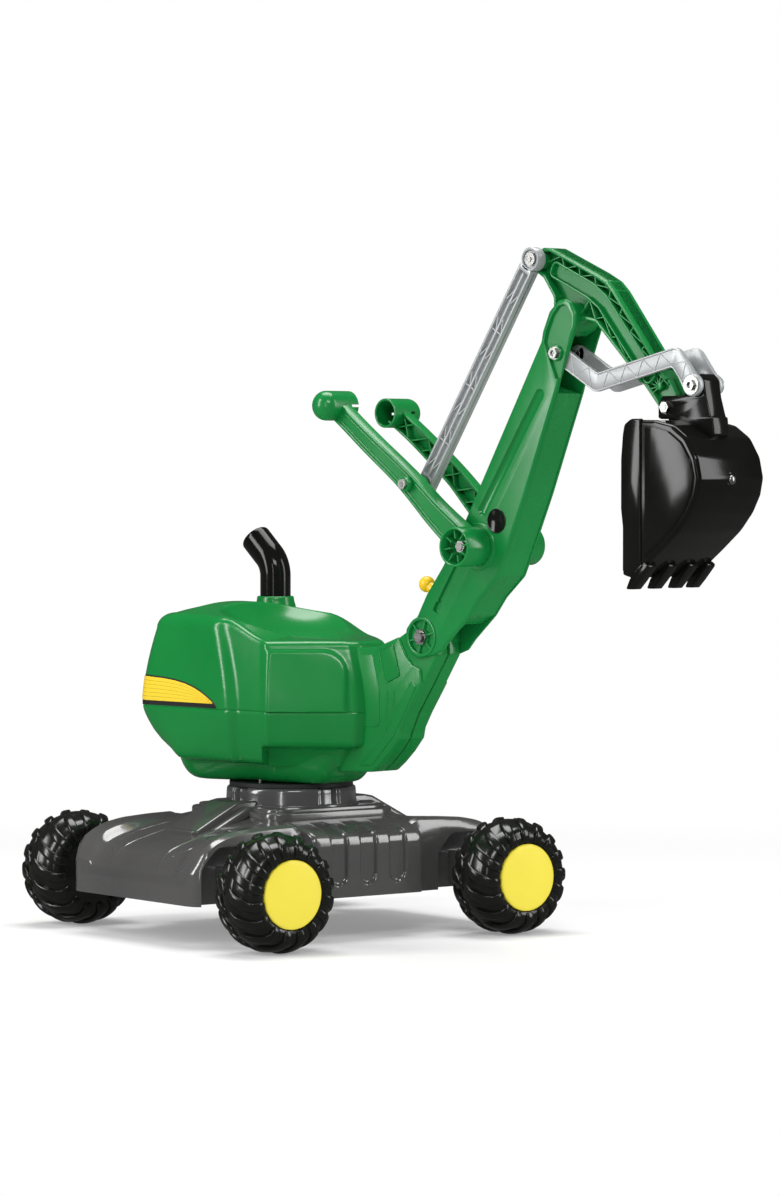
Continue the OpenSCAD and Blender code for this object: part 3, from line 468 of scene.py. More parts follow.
def build_seat():
    n = 420
    th = np.linspace(0, 2 * math.pi, n, endpoint=False)
    ct, st = np.cos(th), np.sin(th)
    fl = np.linspace(0, 1, 9)
    levels = []
    for f in fl:
        cs = []
        for lo, hi in zip(LOW, HIGH):
            g = f ** 1.7
            cs.append(tuple(a + (b - a) * g for a, b in zip(lo, hi)))
        levels.append(radii(cs, th))
    levels = np.array(levels)

    def wall_r(f):
        f = np.clip(f, 0, 1) * 8
        i = np.minimum(f.astype(int), 7)
        w = f - i
        return levels[i, np.arange(n)] * (1 - w) + levels[i + 1, np.arange(n)] * w

    rings = []
    r1 = wall_r(np.ones(n))
    xe = CX + r1 * ct
    fil = 8 + 9 * (1 - sst(-60, 10, xe))          # radius of the top edge
    inner = r1 - fil
    ztop = seat_top(CX + inner * ct, inner * st)
    # walls from the parting line up to the start of the top rounding
    for i, q in enumerate([0, 0.0045, 0.010, 0.03, *np.linspace(0.06, 1, 34)]):
        z = part = 237 + (ztop - fil - 237) * q
        f = (z - 237) / (ztop - 237) * 1.04
        r = wall_r(f)
        if i == 0:
            r = r - 1.0
        if i == 1:
            r = r - 0.45
        # raised front panel with a rounded upper corner, and the groove beside the column
        x, y = CX + r * ct, r * st
        s = (x - 53) * 0.767 + (91 - np.abs(y)) * 0.641     # distance along the diagonal panel
        q = np.hypot(np.maximum(s - 58, 0), np.maximum(z - 276, 0) * 1.05)
        m = sst(-3, 1.5, s) * (1 - sst(24, 29, q)) * (1 - sst(299.5, 303.5, z))
        r = r + 2.8 * m * sst(46, 54, x)
        rings.append([(CX + r[k] * ct[k], r[k] * st[k], z[k]) for k in range(n)])
    rw = wall_r(np.clip((ztop - fil - 237) / (ztop - 237) * 1.04, 0, 1))
    for j in range(1, 8):
        a = math.pi / 2 * j / 7
        r = inner + (rw - inner) * math.cos(a)
        z = ztop - fil + fil * math.sin(a)
        rings.append([(CX + r[k] * ct[k], r[k] * st[k], z[k]) for k in range(n)])
    for q in np.linspace(0.985, 0.02, 64):
        r = inner * q
        z = seat_top(CX + r * ct, r * st)
        rings.append([(CX + r[k] * ct[k], r[k] * st[k], z[k]) for k in range(n)])
    a = Acc()
    a.rings([list(p) for p in rings])
    # collar for the exhaust
    a.rev([(0, 325), (24, 325), (22, 342), (20.6, 346.5), (20.2, 349), (20.0, 351), (19.4, 352), (18.2, 352.3), (17.0, 351.6), (17.0, 346), (0, 346)], (-80, 55, 0), "z", 72)
    up = a.make("seat_upper", GREEN, 50)

    # lower shell: the panels hang over a rounded tub
    lo = levels[0]
    x0, y0 = CX + lo * ct, lo * st
    wr = 1 - sst(-150, -84, x0)
    wf = sst(44, 53, x0)
    zz = [237, 236.2, 235, 232, 228, 222, 216, 211, 206, 203, 200.5, 198.5, 197, 195, 192, 189, 186, 183.5, 181.5, 180, 179, 178.4]
    rear = np.interp(zz[::-1], [178.4, 179, 181.5, 184, 188, 193, 200, 210, 220, 230, 237], [84, 76, 60, 49, 39.5, 31.5, 22.5, 13.5, 7, 2, 0])[::-1]
    side = np.interp(zz[::-1], [178.4, 179, 180, 182, 184, 188, 195, 210, 237], [56, 38, 22, 13, 10, 7.5, 5.5, 3, 0])[::-1]
    front = np.interp(zz[::-1], [178.4, 190, 197, 198.5, 200.5, 203, 206, 216, 237], [34, 27, 22, 17, 7.5, 4.2, 3.4, 2.0, 0])[::-1]
    rings = []
    for i, z in enumerate(zz):
        ins = side[i] * (1 - wr) * (1 - wf) + rear[i] * wr * (1 - wf) + front[i] * wf
        r = lo - ins
        if i == 0:
            r = r - 1.0
        if i == 1:
            r = r - 0.45
        rings.append([(CX + r[k] * ct[k], r[k] * st[k], z) for k in range(n)])
    a = Acc()
    a.rings([list(p) for p in rings])
    # the tub
    tub = [(-128, 40, 30), (-96, 76, 30), (34, 58, 30), (92, 34, 22), (97, 12, 12)]
    rt = radii(tub, th)
    rings = []
    for z, ins in [(214, 2), (200, 0), (188, 0.5), (180, 2), (174, 4.5), (169, 7.5), (165.5, 10.5), (163, 13.5), (161, 17), (159.8, 21), (159.2, 26)]:
        r = rt - ins
        rings.append([(CX + r[k] * ct[k], r[k] * st[k], z) for k in range(n)])
    a.rings([list(p) for p in rings][::-1])
    low = a.make("seat_lower", GREEN, 50)

    # striped trim that follows the rear block, each side
    out = []
    for s in (-1, 1):
        def surf(x, z, e):
            f = np.full(n, (z - 237) / (ztop.mean() - 237) * 1.04)
            f = (z - 237) / (ztop - 237) * 1.04
            r = wall_r(f) + e
            px, py = CX + r * ct, r * st
            sel = np.where((py * s > 0))[0]
            order = sel[np.argsort(px[sel])]
            return float(np.interp(x, px[order], py[order])), r, px, py

        # the trim is drawn in arc length along the wall, from the rear round to the tip
        f0 = (252 - 237) / (ztop - 237) * 1.04
        sel = np.where(st * s >= 0)[0]
        sel = sel[np.argsort(-ct[sel] * 1.0)]          # from the front to the rear
        arcs = {}

        def arc(z, e):
            f = (z - 237) / (ztop - 237) * 1.04
            r = wall_r(f) + e
            p = np.stack([CX + r[sel] * ct[sel], r[sel] * st[sel]], 1)
            p = p[::-1]                                  # rear first
            d = np.concatenate([[0], np.cumsum(np.linalg.norm(np.diff(p, axis=0), axis=1))])
            x_tip = np.interp(-15.0, p[:, 0][d < 330], d[d < 330])
            return p, d, float(x_tip)

        def at(t, z, e):
            """t is the distance back from the tip of the trim, along the wall."""
            p, d, tip = arc(z, e)
            q = tip - t
            return (float(np.interp(q, d, p[:, 0])), float(np.interp(q, d, p[:, 1])), z)

        def top(t):
            return float(np.interp(t, [0, 3, 8, 14, 24, 36, 50, 66, 84, 110, 176], [241, 244.5, 247.8, 251, 256, 260.6, 264.4, 267, 268.8, 270, 270.5]))

        for part, (e0, e1, dz, mat) in {"back": (-0.4, 0.45, 0.0, 0), "bars": (0.3, 0.85, 1.0, 1)}.items():
            acc = Acc()
            ts = [0, 1.2, 3, 5.5, 8, 11, 14, 18, 24, 30, 36, 43, 50, 58, 66, 75, *[80 + 3.2 * q for q in range(31)]]
            if part == "back":
                bands = [(0.0, 1.0)]
            else:
                bands = [(i / 6 + 0.004, (i + 1) / 6 - 0.004) for i in range(6)]
            for b0, b1 in bands:
                def ring_at(t):
                    zl, zh = 238.2, top(t)
                    if part == "bars":
                        zl, zh = 242.9, top(t) - 1.6
                    if zh - zl < 0.5:
                        zh = zl + 0.5
                    za, zb = zl + (zh - zl) * b0, zl + (zh - zl) * b1
                    hs = np.linspace(0, 1, 7)
                    o = [at(t, za + (zb - za) * h, e1 - (0.25 if h in (0.0, 1.0) else 0)) for h in hs]
                    i = [at(t, za + (zb - za) * h, e0) for h in hs[::-1]]
                    return o + i
                tt = [t for t in ts if part == "back" or t >= 5.5]
                if part == "bars":
                    tt = [t for t in tt if top(t) - 1.9 - 242.2 > 1.2]
                acc.rings([ring_at(t) for t in tt])
            out.append((part, s, acc))
    backs, bars = Acc(), Acc()
    for part, s, acc in out:
        tgt = backs if part == "back" else bars
        o = len(tgt.v)
        tgt.v += acc.v
        tgt.f += [tuple(i + o for i in f) for f in acc.f]
        tgt.m += acc.m
    return up, low, backs.make("trim_backing", SATIN, 40), bars.make("trim_bars", TRIM, 40)


seat_up, seat_low, trim_back, trim_bars = build_seat()
put(seat_up, "upper", "green_plastic", "seat_upper_shell")
put(seat_low, "upper", "green_plastic", "seat_lower_shell")
put(trim_back, "upper", "black_plastic", "side_trim_backings")
put(trim_bars, "upper", "yellow_plastic", "side_trims")


# ---------------------------------------------------------------- exhaust
def build_exhaust():
    a = Acc()
    r, bend, L = 16.6, math.radians(48), 28.2
    path = [((-80, 55, z), 0.0) for z in (344.2, 350, 360, 368, 374)]
    for k in range(1, 13):
        t = bend * k / 12
        path.append(((-110 + 30 * math.cos(t), 55, 374 + 30 * math.sin(t)), t))
    e = path[-1][0]
    d = (-math.sin(bend), 0, math.cos(bend))
    for s in (8, 16, 24, L - 1.2, L - 0.3, L):
        path.append(((e[0] + d[0] * s, 55, e[2] + d[2] * s), bend))
    n = 64
    flare = {len(path) - 3: 0.0, len(path) - 2: -0.25, len(path) - 1: -0.9}

    def ring(p, t, rr):
        u = Vector((math.cos(t), 0, math.sin(t)))
        return [tuple(Vector(p) + (u * math.cos(q) + Vector((0, 1, 0)) * math.sin(q)) * rr) for q in np.linspace(0, 2 * math.pi, n, endpoint=False)]
    outer = [ring(p, t, r + flare.get(i, 0.0)) for i, (p, t) in enumerate(path)]
    ri = r - 3
    inner = [ring(p, t, ri + (0.5 if i == len(path) - 1 else 0)) for i, (p, t) in enumerate(path)][::-1]
    a.rings(outer + inner[:-1] + [inner[-1]], False, False)
    # close the lower rim between the two walls
    a2 = Acc()
    rings = outer + inner
    m = len(rings)
    verts = [p for q in rings for p in q]
    faces = []
    for k in range(m):
        q = (k + 1) % m
        for i in range(n):
            j = (i + 1) % n
            faces.append((k * n + i, k * n + j, q * n + j, q * n + i))
    a2.add(verts, faces)
    return a2.make("exhaust", BLACK, 50)


put(build_exhaust(), "upper", "black_plastic", "exhaust_pipe")


# ---------------------------------------------------------------- wheels
TR, TW = 61.5, 34.0


def build_tyre():
    """A blow-moulded tyre round its own z, outer side up."""
    a = Acc()
    prof = [(0, -31), (30, -31), (44, -31.2), (49, -29.5), (53, -25.5), (55.6, -19), (56.6, -11), (58.6, -8.5), (59.6, -5), (59.8, 0), (59.6, 5), (58.6, 8.5), (56.6, 11),
            (55.6, 19), (53, 25.5), (49, 29.5), (44, 31.2), (39, 31.4), (36.6, 30.6), (36.0, 29.2), (36.0, 26), (0, 26)]
    a.rev(prof, (0, 0, 0), "z", 128)
    # lugs: a block on the wall that bends over the shoulder and sweeps across the tread
    crest = [(37.2, 32.6), (40, 33.7), (44, 34.0), (48, 33.4), (51.5, 31.4), (54.6, 28.0), (57.4, 23.6), (59.6, 18.6), (60.9, 13.4), (61.45, 8.6), (61.2, 5.6), (60.2, 3.4)]
    base = [(36.8, 28), (40, 28.2), (44, 28), (47, 26.5), (49.5, 24.5), (51.5, 22), (53, 19), (54, 15.5), (54.6, 12), (55, 8.6), (55.5, 5.8), (57.5, 4.2)]
    N = 16
    for side in (1, -1):
        for i in range(N):
            ph = 2 * math.pi * (i + (0.5 if side < 0 else 0.0)) / N
            rings = []
            for k, ((rc, zc), (rb, zb)) in enumerate(zip(crest, base)):
                t = k / (len(crest) - 1)
                sweep = math.radians(-17) * (max(0, t - 0.25) / 0.75) ** 1.3 * side
                half = np.interp(t, [0, 0.08, 0.3, 0.55, 0.85, 1.0], [3.3, 4.2, 5.0, 5.8, 5.4, 4.0])
                sec = []
                for wf, hf in ((-1.14, 0.0), (-1.06, 0.62), (-0.97, 0.86), (-0.8, 0.975), (-0.4, 1.0), (0.0, 1.0), (0.4, 1.0), (0.8, 0.975), (0.97, 0.86), (1.06, 0.62), (1.14, 0.0)):
                    rr, zz = rb + (rc - rb) * hf, zb + (zc - zb) * hf
                    ang = ph + sweep + wf * half / max(rc, 30)
                    sec.append((rr * math.cos(ang), rr * math.sin(ang), zz * side))
                rings.append(sec)
            # flat caps close both ends
            a.rings(rings)
    return a


def wheel_pose(sx, sy):
    c = Vector((sx * 152.2, sy * 181.0, 61.5))
    R = Matrix.Rotation(TURN, 4, "Z") @ Matrix.Translation(c) @ Matrix.Rotation(math.radians(-90 if sy > 0 else 90), 4, "X")
    return R


tyre_src = build_tyre()
cap_src = Acc()
cap_src.rev([(0, 22.5), (30, 22.5), (32.0, 22.5), (32.2, 26.5), (34.2, 27.0), (35.0, 27.8), (35.3, 29.0), (35.3, 31.0), (34.9, 32.0), (33.8, 32.6), (30.5, 33.0), (24, 33.5), (15, 33.85), (7, 33.97), (0, 34.0)], (0, 0, 0), "z", 96)
for fr, sx in (("front", 1), ("rear", -1)):
    for lr, sy in (("right", -1), ("left", 1)):
        R = wheel_pose(sx, sy)
        for src, nm, mat, slot in ((tyre_src, "tyre", TYRE, "tyre_plastic"), (cap_src, "wheel_cap", YELLOW, "yellow_plastic")):
            c = Acc()
            c.M = R @ Matrix.Rotation(math.radians({(1, -1): 4, (1, 1): 9, (-1, -1): 13, (-1, 1): 2}[(sx, sy)]), 4, "Z")
            c.add(src.v, src.f)
            put(c.make(f"{nm}_{fr}_{lr}.look", mat, 42), f"wheel_{fr}_{lr}", slot, f"{nm}_{fr}_{lr}")


# ---------------------------------------------------------------- column
def build_column():
    body = [(74, 172, 4), (140, 175, 8), (152, 184, 6), (166, 197, 6), (178, 211, 4), (180.5, 222, 3), (190, 238, 10), (211, 269, 4), (209, 285, 3), (199, 288.5, 4), (189.5, 297, 4), (182.5, 309, 3),
            (178, 317, 3), (147, 306, 10), (112, 304, 20), (74, 304, 3)]
    head = [(150, 200, 4), (178, 214, 4), (190, 238, 10), (212, 270, 6), (231, 299, 5), (230, 316, 12), (213, 335, 14), (194, 326, 6), (178, 317, 6), (150, 300, 4)]
    for s, nm in ((-1, "right"), (1, "left")):
        a = Acc()
        y = lambda v0, v1: (min(s * v0, s * v1), max(s * v0, s * v1))
        a.prism(rnd(body, 3, 5), *y(0.9, 20), b=2.2, seg=3)
        a.prism(rnd(head, 3, 5), *y(0.9, head_hw), b=1.6, seg=3)
        a.cyl(P_BOOM, 18, *y(1.0, head_hw + 0.02), b=0.5)
        # raised panel and its rim, two slim ribs, a stiffening fold
        pan = [(150, 303.0, 3), (171, 309.5, 3), (181, 277, 3), (160, 268, 3)]
        a.prism(rnd(pan, 3, 5), *y(18, 20.9), b=0.9, seg=3)
        a.frame(rnd(pan, 3, 5), offset(rnd(pan, 3, 5), 1.5), *y(18, 21.5), b=0.45)
        for x0, x1, z0, z1 in ((162.5, 160.5, 262, 203), (172.0, 170.0, 262, 212)):
            a.bar((x0, z0), (x1, z1), 2.0, *y(18, 21.0), b=0.9)
        a.prism(rnd([(112, 222, 6), (112, 298, 6), (141, 298, 6), (151, 262, 8), (151, 222, 8)], 5, 5), *y(18, 20.7), b=0.7, seg=3)
        a.prism(rnd([(118, 180, 6), (140, 182, 6), (172, 214, 5), (205, 268, 5), (196, 272, 5), (160, 216, 8), (134, 190, 8)], 5, 5), *y(18, 20.8), b=0.8, seg=3)
        o = a.make(f"column_{nm}", GREEN, 40)
        put(o, "upper", "green_plastic", f"column_{nm}_half")


head_hw = 17.55
build_column()


# ---------------------------------------------------------------- boom
def capsule(a, b, r, n=12):
    a, b = np.array(a, float), np.array(b, float)
    t0 = math.atan2(*(b - a)[::-1])
    pts = [tuple(b + r * np.array([math.cos(t0 + q), math.sin(t0 + q)])) for q in np.linspace(-math.pi / 2, math.pi / 2, n)]
    pts += [tuple(a + r * np.array([math.cos(t0 + q), math.sin(t0 + q)])) for q in np.linspace(math.pi / 2, 3 * math.pi / 2, n)]
    return pts


def build_boom():
    W = 22.0
    out = [(227, 299, 8), (241, 304, 6), (251, 315, 6), (279, 340, 10), (294, 359, 14), (319, 381, 14), (332, 409, 20), (357, 465, 60), (377, 515, 60), (398, 567, 10),
           (402, 580, 8), (423, 632, 10), (424, 645, 8), (418, 656, 8), (410, 660, 8), (400, 659, 8), (388, 648, 8), (379, 628, 8), (377, 618, 10),
           (274, 440, 20), (241, 390, 20), (219, 362, 16), (205, 338, 10), (190, 327, 8), (188.5, 314, 8), (196, 301, 8), (206, 295, 8)]
    front_in = [(256, 334), (274, 344), (290, 363), (315, 385), (328, 411), (353, 467), (373, 517), (393.5, 566), (345, 566), (276, 446), (246, 396), (224, 366), (209, 340), (222, 345.5)]
    a = Acc()
    o_out = rnd(out, 6, 5)
    for s in (-1, 1):
        y = lambda v0, v1: (min(s * v0, s * v1), max(s * v0, s * v1))
        pass
    # the boxed middle: the front and rear walls close it between the cheeks
    mid_f = [(258, 331), (279, 341.5), (294, 360.5), (318.5, 382.5), (331, 410), (356, 465.5), (376, 515.5), (396.5, 566), (390, 566), (371, 519), (351, 469), (326, 413), (313, 388), (288, 366), (272, 347), (257, 338)]
    a.prism(rnd(mid_f, 1.5, 3), -18.2, 18.2, b=0.4, seg=1)
    mid_r = [(208, 339), (221.5, 361), (243.5, 388.5), (276, 438.5), (377, 617), (379, 628), (388, 646), (394, 643), (385, 622), (381, 610), (282, 438), (249, 386), (227, 358), (219, 344), (212, 338)]
    a.prism(rnd(mid_r, 1.5, 3), -18.2, 18.2, b=0.4, seg=1)
    # floor of the fork, set back behind the front edge
    a.prism([(391, 560), (396.5, 566), (372, 577), (366, 572)], -18.2, 18.2, b=0.5, seg=1)
    # ring boss round the link pivot on each cheek
    for s in (-1, 1):
        y = lambda v0, v1: (min(s * v0, s * v1), max(s * v0, s * v1))
        a.rev([(3.2, 17.9 * s), (8.2, 17.9 * s), (8.0, 21.0 * s), (7.2, 21.9 * s), (6.0, 22.1 * s), (3.2, 22.1 * s)], (P_LINK[0], 0, P_LINK[1]), "y", 48)
        # collars at the two pivots
        a.tube(P_BOOM, 20.5, 17.2, *y(W - 1.5, W + 1.4), b=0.6)
        a.tube(P_BOOM, 8.6, 6.0, *y(17.9, W + 0.4), b=0.4)
        for k in range(6):
            t = math.radians(60 * k + 15)
            d = np.array([math.cos(t), math.sin(t)])
            a.bar(tuple(np.array(P_BOOM) + d * 8), tuple(np.array(P_BOOM) + d * 17.8), 2.0, *y(W - 3, W + 0.2), b=0.3)
        a.rev([(4.2, 17.0 * s), (4.2, 23.8 * s), (23.4, 23.8 * s), (24.0, 23.2 * s), (24.6, 22 * s), (26.5, 21.7 * s), (24, 20 * s), (24, 17.0 * s)], (P_LEVER[0], 0, P_LEVER[1]), "y", 72)
    o = a.make("boom_body", GREEN2, 40)
    # pressed details: long groove, lower slot, fork panel, pivot recess
    cuts = []
    for s in (-1, 1):
        y = lambda v0, v1: (min(s * v0, s * v1), max(s * v0, s * v1))
        for pts, d, bb in ((capsule((299, 449), (376, 565), 6.0), 3.1, 2.6), (capsule((239, 356), (264, 394), 2.8), 2.6, 0.8),
                           (rnd([(228.5, 346), (236, 342), (241.5, 351.5), (234, 355.5)], 1.2, 3), 3.2, 0.4),
                           (rnd([(381.5, 617, 4), (397.5, 580, 3), (402.5, 580, 3), (419.0, 633, 8), (419.0, 643, 8), (413.5, 651.5, 7), (409, 654.4, 7), (401.5, 653.6, 7), (392.5, 644.5, 7), (384.5, 628, 7)], 4, 5), 3.3, 0.9),
                           ([(P_BOOM[0] + 17.2 * math.cos(t), P_BOOM[1] + 17.2 * math.sin(t)) for t in np.linspace(0, 2 * math.pi, 48, endpoint=False)], 2.4, 0.5)):
            c = Acc()
            # tapered cutter: wider at the face, with a soft bottom edge
            lev = [(0.0, W + 3), (0.0, W), (0.25 * bb, W - 0.25 * d), (0.6 * bb, W - 0.7 * d), (bb * 1.1, W - d)]
            c.rings([[(p[0], s * yy, p[1]) for p in offset(ccw(pts), i)] for i, yy in lev])
            cuts.append(c.make("cut", GREEN2))
    # only the cheeks are cut: do it on a copy that holds them alone
    cheeks = Acc()
    for s in (-1, 1):
        y = lambda v0, v1: (min(s * v0, s * v1), max(s * v0, s * v1))
        cheeks.rings([[(p[0], s * yy, p[1]) for p in offset(ccw(o_out), i)] for i, yy in ((0.3, 17.9), (0, 18.2), (0, W - 3.4), (0.28, W - 2.0), (0.95, W - 0.95), (2.0, W - 0.28), (3.4, W))])
    ch = cheeks.make("cheeks", GREEN2, 40)
    for c in cuts:
        m = ch.modifiers.new("cut", "BOOLEAN")
        m.operation, m.solver, m.object = "DIFFERENCE", "EXACT", c
        applied(ch)
        bpy.data.objects.remove(c)
    b = join("boom_look", [o, ch])
    tidy(b, 36, recalc=False)
    put(b, "boom", "green_plastic", "boom")
    p = Acc()
    p.rev([(0, -22.0), (12.4, -22.0), (12.5, -22.5), (12.2, -22.9), (11.4, -23.0), (11.0, -22.75), (0, -22.75)], (318, 0, 438), "y", 64)
    q = p.make("plug_look", BLACK, 40)
    put(q, "boom", "black_plastic", "boom_plug")


build_boom()


# ---------------------------------------------------------------- levers
def lever_path():
    """Centre line of an arm: x, z, outer face, inner face, half width."""
    a, k, g = np.array(P_LEVER, float), np.array(KNEE, float), np.array(GRIP, float)
    pts = []
    for t in np.linspace(0, 1, 37):
        if t < 0.5:
            u = t / 0.5
            p = a + (k - a) * u
        else:
            u = (t - 0.5) / 0.5
            p = k + (g - k) * u
        pts.append(p)
    pts = np.array(pts)
    for _ in range(14):                                  # soften the knee
        pts[1:-1] = pts[1:-1] * 0.5 + (pts[:-2] + pts[2:]) * 0.25
    t = np.linspace(0, 1, 37)
    outer = 46.0 + 8.5 * sst(0.18, 0.85, t)
    inner = outer - np.interp(t, [0, 0.12, 0.5, 1.0], [19.0, 15.0, 13.0, 13.5])
    half = np.interp(t, [0, 0.1, 0.3, 0.5, 0.85, 1.0], [15.0, 14.5, 12.6, 11.2, 10.2, 10.4])
    tn = np.gradient(pts, axis=0)
    tn /= np.linalg.norm(tn, axis=1)[:, None]
    pts = pts + np.stack([-tn[:, 1], tn[:, 0]], 1) * (4.6 * sst(0.0, 0.28, t) * (1 - 0.75 * sst(0.5, 1.0, t)))[:, None]
    return pts, outer, inner, half


def build_lever(s, name, body):
    pts, outer, inner, half = lever_path()
    n = len(pts)
    a = Acc()
    tan = np.gradient(pts, axis=0)
    tan /= np.linalg.norm(tan, axis=1)[:, None]
    nrm = np.stack([-tan[:, 1], tan[:, 0]], 1)
    rings = []
    for i in range(n):
        h, yo, yi = half[i], outer[i], inner[i]
        # a channel, open towards the boom: raised borders on the outer face
        sec = [(-h, yi), (-h, yo - 1.6), (-h + 0.5, yo - 0.5), (-h + 1.6, yo), (-h + 3.1, yo), (-h + 3.7, yo - 0.35), (-h + 3.9, yo - 1.0), (-h + 4.6, yo - 1.0), (-h + 4.9, yo - 0.5), (-h + 5.6, yo - 0.3), (-h + 6.3, yo - 0.5), (-h + 6.8, yo - 1.5),
               (h - 6.8, yo - 1.5), (h - 6.3, yo - 0.5), (h - 5.6, yo - 0.3), (h - 4.9, yo - 0.5), (h - 4.6, yo - 1.0), (h - 3.9, yo - 1.0), (h - 3.7, yo - 0.35), (h - 3.1, yo), (h - 1.6, yo), (h - 0.5, yo - 0.5), (h, yo - 1.6), (h, yi),
               (h - 0.5, yi - 0.2), (h - 2.0, yi - 0.2), (h - 2.4, yi), (h - 2.8, yo - 4.2), (h - 3.4, yo - 4.6), (-h + 3.4, yo - 4.6), (-h + 2.8, yo - 4.2), (-h + 2.4, yi), (-h + 2.0, yi - 0.2), (-h + 0.5, yi - 0.2)]
        rings.append([(pts[i][0] + nrm[i][0] * w, s * y, pts[i][1] + nrm[i][1] * w) for w, y in sec])
    a.rings(rings[1:])
    # lattice inside the channel
    for k in range(9):
        i = 3 + int(k * 3.55)
        j = min(n - 2, i + 3)
        for u, v in ((-1, 1), (1, -1)) if k % 2 == 0 else ((-1, -1 + 2 * 1.0),):
            p = pts[i] + nrm[i] * (half[i] - 2) * u
            q = pts[j] + nrm[j] * (half[j] - 2) * v
            y0, y1 = s * (max(inner[i], inner[j]) + 2.0), s * (min(outer[i], outer[j]) - 3.6)
            a.bar(tuple(p), tuple(q), 1.6, min(y0, y1), max(y0, y1), b=0.3)
    P = lambda v0, v1: (min(s * v0, s * v1), max(s * v0, s * v1))
    # hub: a deep cup with eight webs
    hx = (P_LEVER[0], 0, P_LEVER[1])
    prof = [(4.4, 24.6), (19.6, 24.6), (20.2, 25.2), (20.3, 30), (20.3, 57.0), (20.0, 57.7), (19.3, 58.0), (18.4, 58.0), (17.8, 57.7), (17.5, 57.0), (16.6, 46.4), (15.6, 45.6), (9.0, 45.4), (8.2, 45.9), (4.4, 45.9)]
    a.rev([(r, s * h) for r, h in prof], hx, "y", 96)
    for k in range(8):
        t = math.radians(45 * k + 10)
        d = np.array([math.cos(t), math.sin(t)])
        a.bar(tuple(np.array(P_LEVER) + d * 8.4), tuple(np.array(P_LEVER) + d * 17.4), 1.5, *P(44.5, 54.5), b=0.35)
    # grip: an open tube with a domed end and a slit opposite the opening
    g = (GRIP[0], 0, GRIP[1])
    dome = [(15.5 * math.cos(t), 63 + 13.5 * math.sin(t)) for t in np.linspace(0, math.pi / 2, 14)]
    inn = [(13.0 * math.cos(t), 61.5 + 12.0 * math.sin(t)) for t in np.linspace(math.pi / 2, 0, 10)]
    prof = [(15.1, 30.0), (15.5, 30.5), (15.5, 40)] + dome + inn + [(13.0, 40), (13.0, 30.5), (13.4, 30.0), (14.2, 29.8)]
    ga = Acc()
    ga.rev([(max(r, 0.0), s * h) for r, h in prof], g, "y", 80)
    go = ga.make("grip", GREEN2, 40)
    c = Acc()
    c.prism(rnd([(GRIP[0] - 22, GRIP[1] - 1.3), (GRIP[0] - 22, GRIP[1] + 1.3), (GRIP[0] + 22, GRIP[1] + 1.3), (GRIP[0] + 22, GRIP[1] - 1.3)], 0.4, 2), *(P(28, 40.5) if s < 0 else P(54, 60)), b=0.2, seg=1)
    co = c.make("cut", GREEN2)
    m = go.modifiers.new("cut", "BOOLEAN")
    m.operation, m.solver, m.object = "DIFFERENCE", "EXACT", co
    applied(go)
    bpy.data.objects.remove(co)
    if s < 0:
        a.cyl(P_ROD, 8.6, *P(24.6, 44), b=0.6)
        a.cyl(P_ROD, 7.6, *P(48, 54), b=0.6)
    o = a.make("arm", GREEN2, 40)
    b = join(name, [o, go])
    tidy(b, 38, recalc=False)
    if s > 0:                                            # the left arm rests a touch lower
        piv = Vector((P_LEVER[0] * K, 0, P_LEVER[1] * K))
        b.data.transform(Matrix.Translation(piv) @ Matrix.Rotation(math.radians(-2.2), 4, "Y") @ Matrix.Translation(-piv))
    node_name = "right_lever" if s < 0 else "left_lever"
    put(b, body, "green_plastic", node_name)


build_lever(-1, "lever_right", "lever")
build_lever(1, "lever_left", "boom")


# ---------------------------------------------------------------- push rod
def along(a, b, t, w=0.0):
    a, b = np.array(a, float), np.array(b, float)
    d = unit(b - a)
    return tuple(a + (b - a) * t + np.array([-d[1], d[0]]) * w)


def build_rod():
    a = Acc()
    A, B = P_ROD, P_RODTOP
    L = math.dist(A, B)
    o = [along(A, B, 0.0, 9.3), along(A, B, 0.0, -9.3), along(A, B, 1 - 9.2 / L, -9.0), along(A, B, 1 - 9.2 / L, 9.0)]
    i = [along(A, B, 10 / L, 6.9), along(A, B, 10 / L, -6.9), along(A, B, 0.945, -6.6), along(A, B, 0.945, 6.6)]
    a.frame(rnd([(*p, 2) for p in o], 2, 4), rnd([(*p, 1.5) for p in i], 1.5, 4), -24.1, -12.4, b=0.5)
    a.prism(o, -19.0, -17.2, b=0.2, seg=1)
    a.bar(along(A, B, 0.03), along(A, B, 0.94), 2.2, -23.6, -12.9, b=0.4)
    n = 7
    for k in range(n):
        t0, t1 = 0.07 + k * 0.86 / n, 0.07 + (k + 0.45) * 0.86 / n
        for sd in (1, -1):
            u, v = (7.2, 0.8) if (k + (sd > 0)) % 2 else (0.8, 7.2)
            a.bar(along(A, B, t0, u * sd), along(A, B, t1, v * sd), 1.3, -22.8, -13.2, b=0.3)
        if k % 2:
            a.bar(along(A, B, t0, -7.2), along(A, B, t0, 7.2), 1.5, -23.0, -13.4, b=0.3)
    a.rev([(r, -h) for r, h in [(5.2, 12.4), (11.4, 12.4), (12.0, 13.0), (12.0, 23.4), (11.5, 24.1), (9.9, 24.1), (9.2, 23.6), (8.8, 21.2), (5.2, 21.0)]], (B[0], 0, B[1]), "y", 72)
    a.rev([(r, -h) for r, h in [(3.1, 12.4), (8.9, 12.4), (9.4, 12.9), (9.4, 23.6), (8.9, 24.1), (3.1, 24.1)]], (A[0], 0, A[1]), "y", 64)
    put(a.make("rod_look", SILVER, 40), "rod", "silver_plastic", "push_rod")


build_rod()


